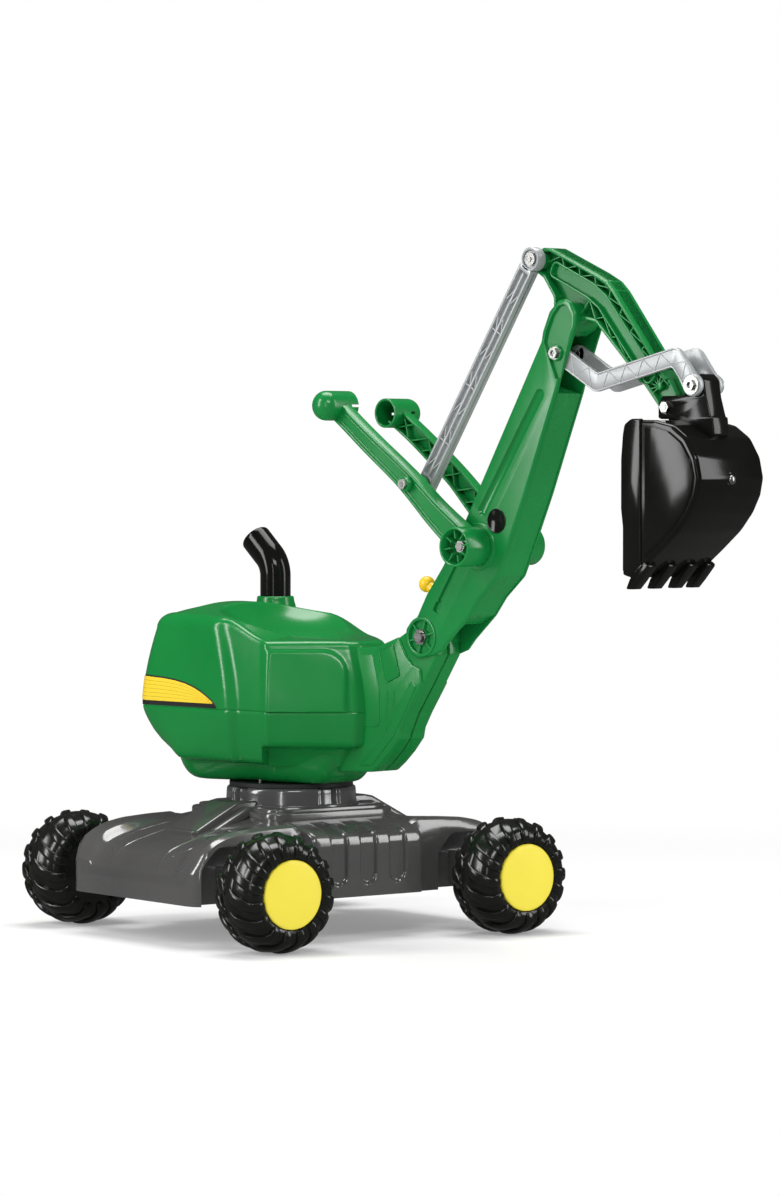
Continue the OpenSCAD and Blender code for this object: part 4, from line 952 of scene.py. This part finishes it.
# ---------------------------------------------------------------- z links
def outline(p, w):
    p = [np.array(q, float) for q in p]
    left, right = [], []
    for i in range(len(p)):
        if i == 0:
            m = unit(p[1] - p[0]); n = np.array([-m[1], m[0]]); k = 1
        elif i == len(p) - 1:
            m = unit(p[i] - p[i - 1]); n = np.array([-m[1], m[0]]); k = 1
        else:
            m1, m2 = unit(p[i] - p[i - 1]), unit(p[i + 1] - p[i])
            n1, n2 = np.array([-m1[1], m1[0]]), np.array([-m2[1], m2[0]])
            n = unit(n1 + n2); k = 1 / float(n @ n1)
        left.append(tuple(p[i] + n * w * k))
        right.append(tuple(p[i] - n * w * k))
    return left + right[::-1]


def build_links():
    path = [P_LINK, (447, 576), (549, 600), P_END]
    big = outline(path, 9.0)
    rr = [2, 9, 16, 2, 2, 16, 9, 2]
    rr = [2, 3, 14, 2, 2, 6, 12, 2]
    for s, nm in ((-1, "right"), (1, "left")):
        y = lambda v0, v1: (min(s * v0, s * v1), max(s * v0, s * v1))
        a = Acc()
        o = rnd([(*p, r) for p, r in zip(big, rr)], 3, 8)
        a.prism(o, *y(12.3, 16.7), b=0.6, seg=2)
        i = offset(ccw(o), 1.7)
        a.frame(o, i, *y(16.0, 17.7), b=0.35)
        # raised truss on the outer face
        seg = [(path[0], path[1], 4), (path[1], path[2], 8), (path[2], path[3], 3)]
        for A, B, n in seg:
            L = math.dist(A, B)
            for k in range(n):
                t0, t1 = 0.06 + 0.88 * k / n, 0.06 + 0.88 * (k + 1) / n
                u = 7.6 if k % 2 else -7.6
                a.bar(along(A, B, t0, u), along(A, B, t1, -u), 0.9, *y(16.2, 17.35), b=0.25)
        for c, r, ri in ((P_LINK, 9.2, 3.1), (P_END, 11.0, 7.2)):
            a.tube(c, r, ri, *y(12.3, 17.8), b=0.5)
        put(a.make(f"z_link_{nm}.look", SILVER, 40), "links", "silver_plastic", f"z_link_{nm}")


build_links()


# ---------------------------------------------------------------- dipper
def build_dipper():
    out = [(358, 706, 5), (372, 712, 4), (381, 711.5, 6), (440, 685, 14), (456, 676.5, 10), (466, 667, 10), (528, 587, 6), (543, 563, 5), (543, 551, 4), (540, 545, 3),
           (526, 544.5, 3), (521, 551, 5), (485, 592, 20), (441, 636, 20), (424, 640, 10), (410, 622, 8), (396, 624, 8), (386, 640, 10), (386, 662, 10), (372, 682, 6), (356, 692, 5), (352.5, 700, 5)]
    a = Acc()
    o = rnd(out, 4, 5)
    a.prism(o, -1.6, 1.6, b=0.2, seg=1)
    # flange all round: full width above the bucket pin, slim where it enters the bracket
    up = [p for p in out]
    ring_in = offset(ccw(o), 2.6)
    a.frame(o, ring_in, -8.0, 8.0, b=0.5)
    wide = [(358, 706, 5), (372, 712, 4), (381, 711.5, 6), (440, 685, 14), (456, 676.5, 10), (466, 667, 10), (528, 587, 3), (534, 578.5, 2), (529.5, 577.2, 1), (524.5, 585, 2), (463.2, 664, 8), (454, 672.8, 10), (438.5, 681.5, 12), (380.3, 708, 6), (373, 708.2, 3),
            (360.5, 702.5, 3), (356.5, 699.5, 3), (358.8, 694, 4), (374.3, 684.5, 6), (389, 663, 8), (389, 641, 8), (397.3, 627, 6), (408.4, 625.2, 6), (423, 643.2, 8), (442.5, 639, 16), (487, 594.2, 16), (502, 577, 3), (499.5, 575.2, 1), (485, 591.8, 16), (441, 636, 20), (424, 640, 10), (410, 622, 8), (396, 624, 8), (386, 640, 10), (386, 662, 10), (372, 682, 6), (356, 692, 5), (352.5, 700, 5)]
    a.prism(rnd(wide, 3, 4), -12.0, 12.0, b=0.6, seg=2)
    # raised channel along the middle
    path = [(381, 692), (433, 667.5), (449, 656), (514, 577)]
    ch = rnd([(*p, 7) for p in outline(path, 8.6)], 6, 6)
    for s in (-1, 1):
        y = lambda v0, v1: (min(s * v0, s * v1), max(s * v0, s * v1))
        a.frame(ch, offset(ccw(ch), 2.0), *y(1.0, 10.8), b=0.5)
        a.prism(offset(ccw(ch), 1.0), *y(1.0, 5.2), b=0.3, seg=1)
        # truss ribs above and below the channel
        top = [(384, 708), (438, 683.5), (462, 667), (534, 573)]
        mid_t = [(377, 698), (436, 675.5), (455, 662.5), (521, 582)]
        bot = [(389, 660), (398, 630), (442, 640), (520, 556)]
        mid_b = [(386, 683), (430, 659.5), (443, 649.5), (508, 571)]

        def pt(poly, t):
            p = np.array(poly, float)
            d = np.concatenate([[0], np.cumsum(np.linalg.norm(np.diff(p, axis=0), axis=1))])
            return (float(np.interp(t * d[-1], d, p[:, 0])), float(np.interp(t * d[-1], d, p[:, 1])))
        n = 17
        for k in range(n):
            u, v = k / n, (k + 1) / n
            A, B = (pt(top, u), pt(mid_t, v)) if k % 2 else (pt(mid_t, u), pt(top, v))
            a.bar(A, B, 1.2, *y(1.0, 10.0), b=0.25)
        n = 13
        for k in range(3, n):
            u, v = k / n, (k + 1) / n
            A, B = (pt(bot, u), pt(mid_b, v)) if k % 2 else (pt(mid_b, u), pt(bot, v))
            a.bar(A, B, 1.2, *y(1.0, min(10.0, 8.0 if k > 9 else 10.0)), b=0.25)
        a.rev([(5.1, 0), (17.0, 0), (17.0, 14 * s), (16.9, 16.8 * s), (16.4, 17.4 * s), (5.1, 17.4 * s)], (P_DIP[0], 0, P_DIP[1]), "y", 72)
        a.rev([(3.1, 0), (9.6, 0), (9.8, 7.6 * s), (9.4, 8.0 * s), (3.1, 8.0 * s)], (P_BUCKET[0], 0, P_BUCKET[1]), "y", 64)
        a.rev([(2.6, 0), (10.2, 0), (10.4, 11.4 * s), (9.9, 12.0 * s), (2.6, 12.0 * s)], (P_RODTOP[0], 0, P_RODTOP[1]), "y", 64)
        # star of ribs at the bucket end
        for k in range(7):
            t = math.radians(52 + k * 28)
            d = np.array([math.cos(t), math.sin(t)])
            c = np.array((520.5, 571.5))
            a.bar(tuple(c + d * 3), tuple(c + d * 11), 1.2, *y(1.0, 7.6), b=0.25)
        a.cyl((520.5, 571.5), 3.6, *y(1.0, 7.8), b=0.4)
    put(a.make("dipper_look", GREEN2, 40), "dipper", "green_plastic", "dipper")


build_dipper()


# ---------------------------------------------------------------- bucket
def build_bucket():
    bk = [(512, 389, 3), (512, 530, 9), (522, 538.5, 8), (550, 538, 20), (573, 533, 18), (591, 521, 18), (603, 502, 18), (607.5, 482, 14), (604, 465, 8), (595, 448, 30), (580, 430, 60), (557, 411, 60), (535, 394, 10), (520, 384, 4)]
    inn = [(490, 396), (490, 528), (523, 534.6), (549, 533.8), (571, 528.8), (588, 517.6), (599.2, 499.5), (603.4, 481.5), (600.4, 466), (591.6, 450), (577, 433), (554.3, 414.2), (531, 396.8), (518, 390.5), (490, 391)]
    a = Acc()
    o = rnd(bk, 8, 8)
    a.prism(o, -49.5, 49.5, b=4.2, seg=5)
    body = a.make("bucket_body", BLACK, 50)
    c = Acc()
    c.prism(rnd(inn, 7, 6), -46, 46, b=2.5, seg=3)
    co = c.make("cut", BLACK)
    m = body.modifiers.new("cut", "BOOLEAN")
    m.operation, m.solver, m.object = "DIFFERENCE", "EXACT", co
    applied(body)
    bpy.data.objects.remove(co)
    d = Acc()
    for s in (-1, 1):
        y = lambda v0, v1: (min(s * v0, s * v1), max(s * v0, s * v1))
        front = [(509.2, 391, 4), (509.2, 504, 2), (507.6, 514, 6), (509.2, 531, 7), (519, 539, 7), (532, 539.2, 2), (532.4, 398.5, 2), (519, 386.5, 5), (513, 388, 4)]
        front = [(511.2, 391, 4), (511.2, 434, 20), (508.8, 452, 20), (508.8, 500, 20), (511.0, 524, 12), (513, 534, 7), (521.5, 539.4, 7), (534, 539.6, 1.5), (534.4, 397.5, 1.5), (522, 386, 5), (515, 387.5, 4)]
        d.prism(rnd(front, 3, 5), *y(46, 51.4), b=1.5, seg=3)
        panel = [(538.4, 402.5, 3), (538.4, 532.4, 4), (549.5, 532.2, 14), (569.5, 527.6, 18), (586, 516.5, 18), (597.4, 499.5, 18), (601.6, 482, 14), (598.4, 466.8, 10), (590, 451, 30), (575.5, 434, 60), (553, 415.5, 60)]
        d.prism(rnd(panel, 6, 8), *y(47, 51.2), b=1.9, seg=4)
    # lip under the mouth and the four teeth
    d.prism(rnd([(511, 388, 2), (515, 386.5, 2), (521, 385, 2), (538, 396, 2), (534, 398.5, 2), (521, 390.5, 3), (512, 392, 2)], 2, 4), -50.5, 50.5, b=1.0, seg=2)
    for yc in (-43.5, -12.5, 18.5, 45.5):
        y0, y1 = max(yc - 6.6, -51.6), min(yc + 6.6, 51.6)
        t = rnd([(514.5, 373.4, 1.6), (523.5, 373.4, 2.2), (532, 382, 5), (545, 396.5, 3), (538, 400.5, 2), (527, 394, 4), (519, 383, 4)], 2, 4)
        d.prism(t, y0, y1, b=1.2, seg=3)
    # seat of the screw in the back
    d.rev([(0, -3), (8.2, -3), (8.2, -0.4), (7.4, 0.1), (6.2, 0.2), (5.4, -0.6), (0, -0.8)], (606.4, 0, 480), (Vector((0, 1, 0)), Vector((0, 0, 1)), Vector((1, 0, 0))), 48)
    det = d.make("bucket_det", BLACK, 40)
    b = join("bucket_look", [body, det])
    tidy(b, 42, recalc=False)
    put(b, "bucket", "black_plastic", "bucket_shell")


build_bucket()
br = cad("bucket_bracket", "bracket_look", BLACK, bevel=1.3, seg=3)
put(br, "bucket", "black_plastic", "bucket_bracket")
a = Acc()
a.cyl(P_DIP, 5.0, -17.6, 17.6, b=0.5)
put(a.make("dip_pin_look", STEEL, 40), "boom", "zinc_steel", "dipper_pin")
a = Acc()
a.rev([(0, -14), (1.9, -14), (1.9, -0.4), (4.3, -0.4), (4.6, 0.2), (4.3, 1.2), (3.2, 2.0), (1.6, 2.5), (0, 2.6)], (607.0, 0, 480), (Vector((0, 1, 0)), Vector((0, 0, 1)), Vector((1, 0, 0))), 40)
put(a.make("back_screw", STEEL, 40), "bucket", "zinc_steel", "bucket_screws")


# ---------------------------------------------------------------- chassis
def build_chassis():
    base = ([0, 64, 78, 143, 176, 190, 199, 204, 205], [129, 129, 125.5, 109, 100, 94, 84, 72, 66])
    fend = ([0, 64, 76, 110, 145, 168, 184, 194, 201, 205], [120, 120, 122, 121, 118.5, 114, 107, 98, 86, 72])
    xs = sorted(set([round(float(v), 2) for v in np.concatenate([np.linspace(-205, -186, 12), np.linspace(-184, -60, 34), np.linspace(-58, 0, 10)])]))
    xs = xs + [-v for v in xs[::-1] if v != 0]
    smooth = lambda t, v: float(np.mean([np.interp(min(205, abs(v + d)), t[0], t[1]) for d in (-6, -3, 0, 3, 6)]))
    rings = []
    for x in xs:
        ax = abs(x)
        d = 205 - ax
        corner = 15 - math.sqrt(max(0.0, 15 ** 2 - max(0.0, 15 - d) ** 2))      # rounded upright corners
        w = 117.5 - corner * 1.15
        b, f = smooth(base, x), smooth(fend, x)
        k = sst(66, 84, ax)                                                       # between the wheels the body falls to the side box
        f = f * k + (1 - k) * 116.0
        r = min(7.0, 3 + d * 0.5)
        sec = [(-w, 44), (-w, 44.8), (-w, 60), (-w, f - r - 1), (-w + 0.29 * r, f - 0.29 * r - 0.6), (-w + r, f - 0.2), (-w + r + 2.5, f + 0.7), (-w + r + 5, f + 0.6), (-w + r + 7.5, f - 0.1), (-w + 19, f - 0.35)]
        m = [(-88, 0.96), (-85, 0.85), (-81, 0.55), (-77, 0.25), (-73, 0.07), (-68, 0.0), (-50, 0), (-30, 0), (-10, 0)]
        for y, q in m:
            y2 = max(y, -w + 20 + (y + 88) * 0.5) if -w + 20 > y else y
            sec.append((y2, f * q + b * (1 - q) - (0.35 if q > 0 else 0)))
        full = sec + [(-y, z) for y, z in sec[::-1]]
        full += [(full[-1][0] - 3.5, 44), (full[0][0] + 3.5, 44)]
        rings.append([(x, y, z) for y, z in full])
    a = Acc(turn=TURN)
    a.rings(rings, True, True)
    o = a.make("chassis_top", GREY, 40)
    c = Acc(turn=TURN)
    for sx in (-1, 1):
        cx = sx * 152.2
        arch = [(cx - 45, 30, 0.5), (cx + 45, 30, 0.5), (cx + 45, 84, 22), (cx + 26, 104, 16), (cx - 26, 104, 16), (cx - 45, 84, 22)]
        for s in (-1, 1):
            c.prism(rnd(arch, 4, 6), min(s * 97, s * 140), max(s * 97, s * 140), b=0.6, seg=1)
    co = c.make("cut", GREY)
    m = o.modifiers.new("cut", "BOOLEAN")
    m.operation, m.solver, m.object = "DIFFERENCE", "EXACT", co
    applied(o)
    bpy.data.objects.remove(co)

    d = Acc(turn=TURN)
    # side boxes with three pressed channels that run over the top edge
    for s in (-1, 1):
        y = lambda v0, v1: (min(s * v0, s * v1), max(s * v0, s * v1))
        xs2 = np.concatenate([[-71, -70.6, -69.8, -68.5, -66, -62], np.linspace(-58, 58, 117), [62, 66, 68.5, 69.8, 70.6, 71]])
        rg = []
        for x in xs2:
            edge = 2.2 * (1 - sst(0, 3.2, 71 - abs(x)))
            col = []
            for q, (yy, zz) in enumerate([(137.8, 45.5), (138, 47), (138, 52), (138, 55), *[(138, 56.5 + 1.0 * q) for q in range(14)], (138, 72), (138, 76), (138, 84), (138, 90), (138, 98), (137.7, 103), (136.2, 108), (133, 112), (128, 114.5), (122, 116.5), (112, 118.5), (100, 120.5), (84, 122.5)]):
                g = 0.0
                for cxx in (-38, 0, 38):
                    u = abs(x - cxx)
                    # rounded lower end
                    zc0 = 69
                    rr = math.hypot(u, max(0.0, zc0 - zz))
                    g = max(g, float(1 - sst(8.6, 11.6, rr)))
                if yy < 125:
                    g *= float(1 - sst(8, 26, 128 - yy))
                gy, gz = (1.0, 0.0) if zz < 103 else ((0.8, 0.6) if zz < 113 else (0.35, 0.95))
                col.append((x, s * (yy - 3.4 * g * gy - edge), zz - 3.0 * g * gz - edge * (0.8 if zz > 108 else 0)))
            col += [(x, s * 84, 45.5)]
            rg.append(col)
        d.rings(rg, True, True)
        # bearing blocks of the axles
        for sx in (-1, 1):
            cx = sx * 152.2
            d.prism(rnd([(cx - 15, 47), (cx + 15, 47), (cx + 15, 83), (cx - 15, 83)], 5, 4), *y(90, 141.9), b=1.0, seg=2)
    # stepped plate under the turret
    sq = lambda h, r: rnd([(-h, -h, r), (h, -h, r), (h, h, r), (-h, h, r)], r, 8)
    for pts, z0, z1, b in ((sq(82, 24), 122, 131.4, 2.4), (sq(76.5, 24), 124, 134.6, 1.6)):
        lev = [(0, z0), (0, z1 - b), (0.15 * b, z1 - 0.6 * b), (0.5 * b, z1 - 0.16 * b), (b, z1)]
        d.rings([[(p[0], p[1], z) for p in offset(ccw(pts), i)] for i, z in lev])
    d.rev([(0, 124), (72.5, 124), (72.5, 135.6), (72.1, 136.4), (71.2, 136.8), (0, 136.8)], (0, 0, 0), "z", 96)
    # ramps with a lip, and a raised seam each side of the hood
    for s in (-1, 1):
        ramp = rnd([(s * 56, 120), (s * 56, 141.5), (s * 80, 141.5, 9), (s * 90, 139.5, 9), (s * 140, 113.5, 3), (s * 147, 112.8, 2), (s * 147.4, 104, 2), (s * 140, 100), (s * 100, 110)], 1.5, 6)
        d.prism(ramp, -27, 27, b=2.8, seg=4)
        for t in (-1, 1):
            d.prism(rnd([(s * 60, 124), (s * 60, 136), (s * 82, 136, 8), (s * 128, 112.5, 4), (s * 120, 106)], 2, 5), *((-38, -24) if t < 0 else (24, 38)), b=4.5, seg=4)
    # raised creases that frame the panels either side of the ramps
    zt = lambda x: smooth(base, x)
    for sx in (-1, 1):
        for s in (-1, 1):
            for path in ([(203.5, 42), (198, 41.5), (188, 41), (172, 40.5), (152, 39.5), (128, 38), (104, 37)], [(198, 41.5), (190, 55), (180, 66), (166, 71), (148, 72), (124, 66), (104, 56)]):
                fine = []
                for (x0, y0), (x1, y1) in zip(path, path[1:]):
                    fine += [(x0 + (x1 - x0) * q / 6, y0 + (y1 - y0) * q / 6) for q in range(6)]
                fine.append(path[-1])
                rg = []
                for i, (x, y) in enumerate(fine):
                    p, q = fine[max(0, i - 1)], fine[min(len(fine) - 1, i + 1)]
                    tx, ty = unit(np.array(q, float) - np.array(p, float))
                    nx, ny = -ty, tx
                    taper = min(1.0, i / 5, (len(fine) - 1 - i) / 5) * 0.9 + 0.1
                    rg.append([(sx * (x + nx * w), s * (y + ny * w), zt(x + nx * w) + h) for w, h in ((-2.6, -1.5), (-2.6, -0.15), (-1.6, 0.35 * taper), (-0.6, 0.85 * taper), (0.6, 0.85 * taper), (1.6, 0.35 * taper), (2.6, -0.15), (2.6, -1.5))])
                d.rings(rg, True, True)
    det = d.make("chassis_det", GREY, 40)
    b = join("chassis_look", [o, det])
    tidy(b, 40, recalc=False)
    put(b, "chassis", "grey_plastic", "chassis_shell")

    t = Acc(turn=TURN)
    n = 288
    th = np.linspace(0, 2 * math.pi, n, endpoint=False)
    g = np.array([min(abs(((math.degrees(v)) % 90)), 90 - ((math.degrees(v)) % 90)) for v in th])
    gap = 1 - sst(7, 11, g)
    rr = []
    for r0, z in ((70.2, 135.5), (69.8, 138), (69.3, 141), (69.0, 148), (68.7, 151), (68.0, 152.6), (66.6, 153.6), (64, 153.9), (48, 153.95)):
        rr.append([((r0 - 7.5 * gap[i]) * math.cos(v), (r0 - 7.5 * gap[i]) * math.sin(v), z) for i, v in enumerate(th)])
    t.rings(rr, True, True)
    put(t.make("drum_look", GREY2, 44), "chassis", "grey_plastic", "turret_drum")


build_chassis()


# ---------------------------------------------------------------- materials of the CAD solids that stay
SLOT_MAT = {"green_plastic": GREEN2, "grey_plastic": GREY, "silver_plastic": SILVER, "black_plastic": BLACK, "tyre_plastic": TYRE,
            "yellow_plastic": YELLOW, "knob_plastic": KNOB, "zinc_steel": STEEL}
for sub in frame["record"]["subparts"]:
    o = NODES[sub["node"]]
    o.data.materials.clear()
    o.data.materials.append(SLOT_MAT[sub["material_slot"]])
for nm in ("axle_spacers", "turntable_plate", "slew_journal"):
    NODES[nm].data.materials[0] = SATIN


# ---------------------------------------------------------------- stage, light and camera
def floor_and_light():
    me = bpy.data.meshes.new("floor")
    me.from_pydata([(-30, -30, 0), (30, -30, 0), (30, 30, 0), (-30, 30, 0)], [], [(0, 1, 2, 3)])
    fl = bpy.data.objects.new("floor", me)
    bpy.context.collection.objects.link(fl)
    m = bpy.data.materials.new("floor")
    m.use_nodes = True
    nt = m.node_tree
    b = nt.nodes["Principled BSDF"]
    b.inputs["Base Color"].default_value = (0.93, 0.93, 0.93, 1)
    b.inputs["Roughness"].default_value = 0.55
    b.inputs["Specular IOR Level"].default_value = 0.25
    # the floor grows into the white of the studio away from the part
    tc = node(nt, "ShaderNodeTexCoord")
    ln = node(nt, "ShaderNodeVectorMath", operation="LENGTH")
    nt.links.new(tc.outputs["Object"], ln.inputs[0])
    fade = node(nt, "ShaderNodeMapRange", i_From_Min=0.55, i_From_Max=1.5, i_To_Min=0.25, i_To_Max=1.0, interpolation_type="SMOOTHSTEP")
    nt.links.new(ln.outputs["Value"], fade.inputs["Value"])
    em = node(nt, "ShaderNodeEmission", i_Strength=1.0)
    mx = node(nt, "ShaderNodeMixShader")
    nt.links.new(fade.outputs["Result"], mx.inputs["Fac"])
    nt.links.new(b.outputs["BSDF"], mx.inputs[1])
    nt.links.new(em.outputs["Emission"], mx.inputs[2])
    # seen in reflections the floor is darker, which keeps the glossy plastics deep in colour
    dim = node(nt, "ShaderNodeEmission", i_Strength=0.13)
    pick = node(nt, "ShaderNodeMixShader")
    lp = node(nt, "ShaderNodeLightPath")
    nt.links.new(lp.outputs["Is Glossy Ray"], pick.inputs["Fac"])
    nt.links.new(mx.outputs["Shader"], pick.inputs[1])
    nt.links.new(dim.outputs["Emission"], pick.inputs[2])
    nt.links.new(pick.outputs["Shader"], nt.nodes["Material Output"].inputs["Surface"])
    me.materials.append(m)
    w = bpy.data.worlds.new("studio")
    bpy.context.scene.world = w
    w.use_nodes = True
    bg = w.node_tree.nodes["Background"]
    bg.inputs["Color"].default_value = (1, 1, 1, 1)
    bg.inputs["Strength"].default_value = 1.0
    nt = w.node_tree
    lp = node(nt, "ShaderNodeLightPath")
    mr = node(nt, "ShaderNodeMapRange", i_From_Min=0.0, i_From_Max=1.0, i_To_Min=0.30, i_To_Max=0.06)
    nt.links.new(lp.outputs["Is Glossy Ray"], mr.inputs["Value"])
    mx2 = node(nt, "ShaderNodeMix", data_type="FLOAT")
    nt.links.new(lp.outputs["Is Camera Ray"], mx2.inputs[0])
    nt.links.new(mr.outputs["Result"], mx2.inputs[2])
    mx2.inputs[3].default_value = 1.0
    nt.links.new(mx2.outputs[0], bg.inputs["Strength"])

    cam_p = Vector((3.2615, -3.2180, 0.4934))
    aim = Vector((0.0757, 0.0733, 0.3529))
    f = (cam_p - aim).normalized()
    r = Vector((0, 0, 1)).cross(f).normalized()
    up = Vector((0, 0, 1))

    def soft(name, pos, size, size_y, power):
        l = bpy.data.lights.new(name, "AREA")
        l.shape, l.size, l.size_y, l.energy = "RECTANGLE", size, size_y, power
        o = bpy.data.objects.new(name, l)
        o.location = pos
        o.rotation_euler = (aim - Vector(pos)).to_track_quat("-Z", "Y").to_euler()
        bpy.context.collection.objects.link(o)

    soft("top", aim + up * 2.2 - f * 0.3, 1.8, 1.2, 52)
    soft("left", aim - r * 2.0 + f * 0.8 + up * 0.8, 0.45, 1.7, 26)
    soft("strip", aim - r * 1.0 + f * 3.0 + up * 0.5, 0.16, 1.5, 7)
    soft("right", aim + r * 2.1 + f * 0.5 + up * 0.7, 0.5, 1.7, 16)
    soft("front", aim + f * 3.2 + up * 1.9 + r * 0.3, 1.3, 0.7, 34)
    cd = bpy.data.cameras.new("camera")
    cam = bpy.data.objects.new("camera", cd)
    bpy.context.collection.objects.link(cam)
    cam.location = cam_p
    cam.rotation_euler = (aim - cam_p).to_track_quat("-Z", "Y").to_euler()
    cd.sensor_width = 36
    cd.lens = 129.4
    cd.clip_end = 100
    cd.dof.use_dof = False
    bpy.context.scene.camera = cam
    bpy.context.scene.view_settings.view_transform = "Standard"
    bpy.context.scene.view_settings.look = "None"


floor_and_light()
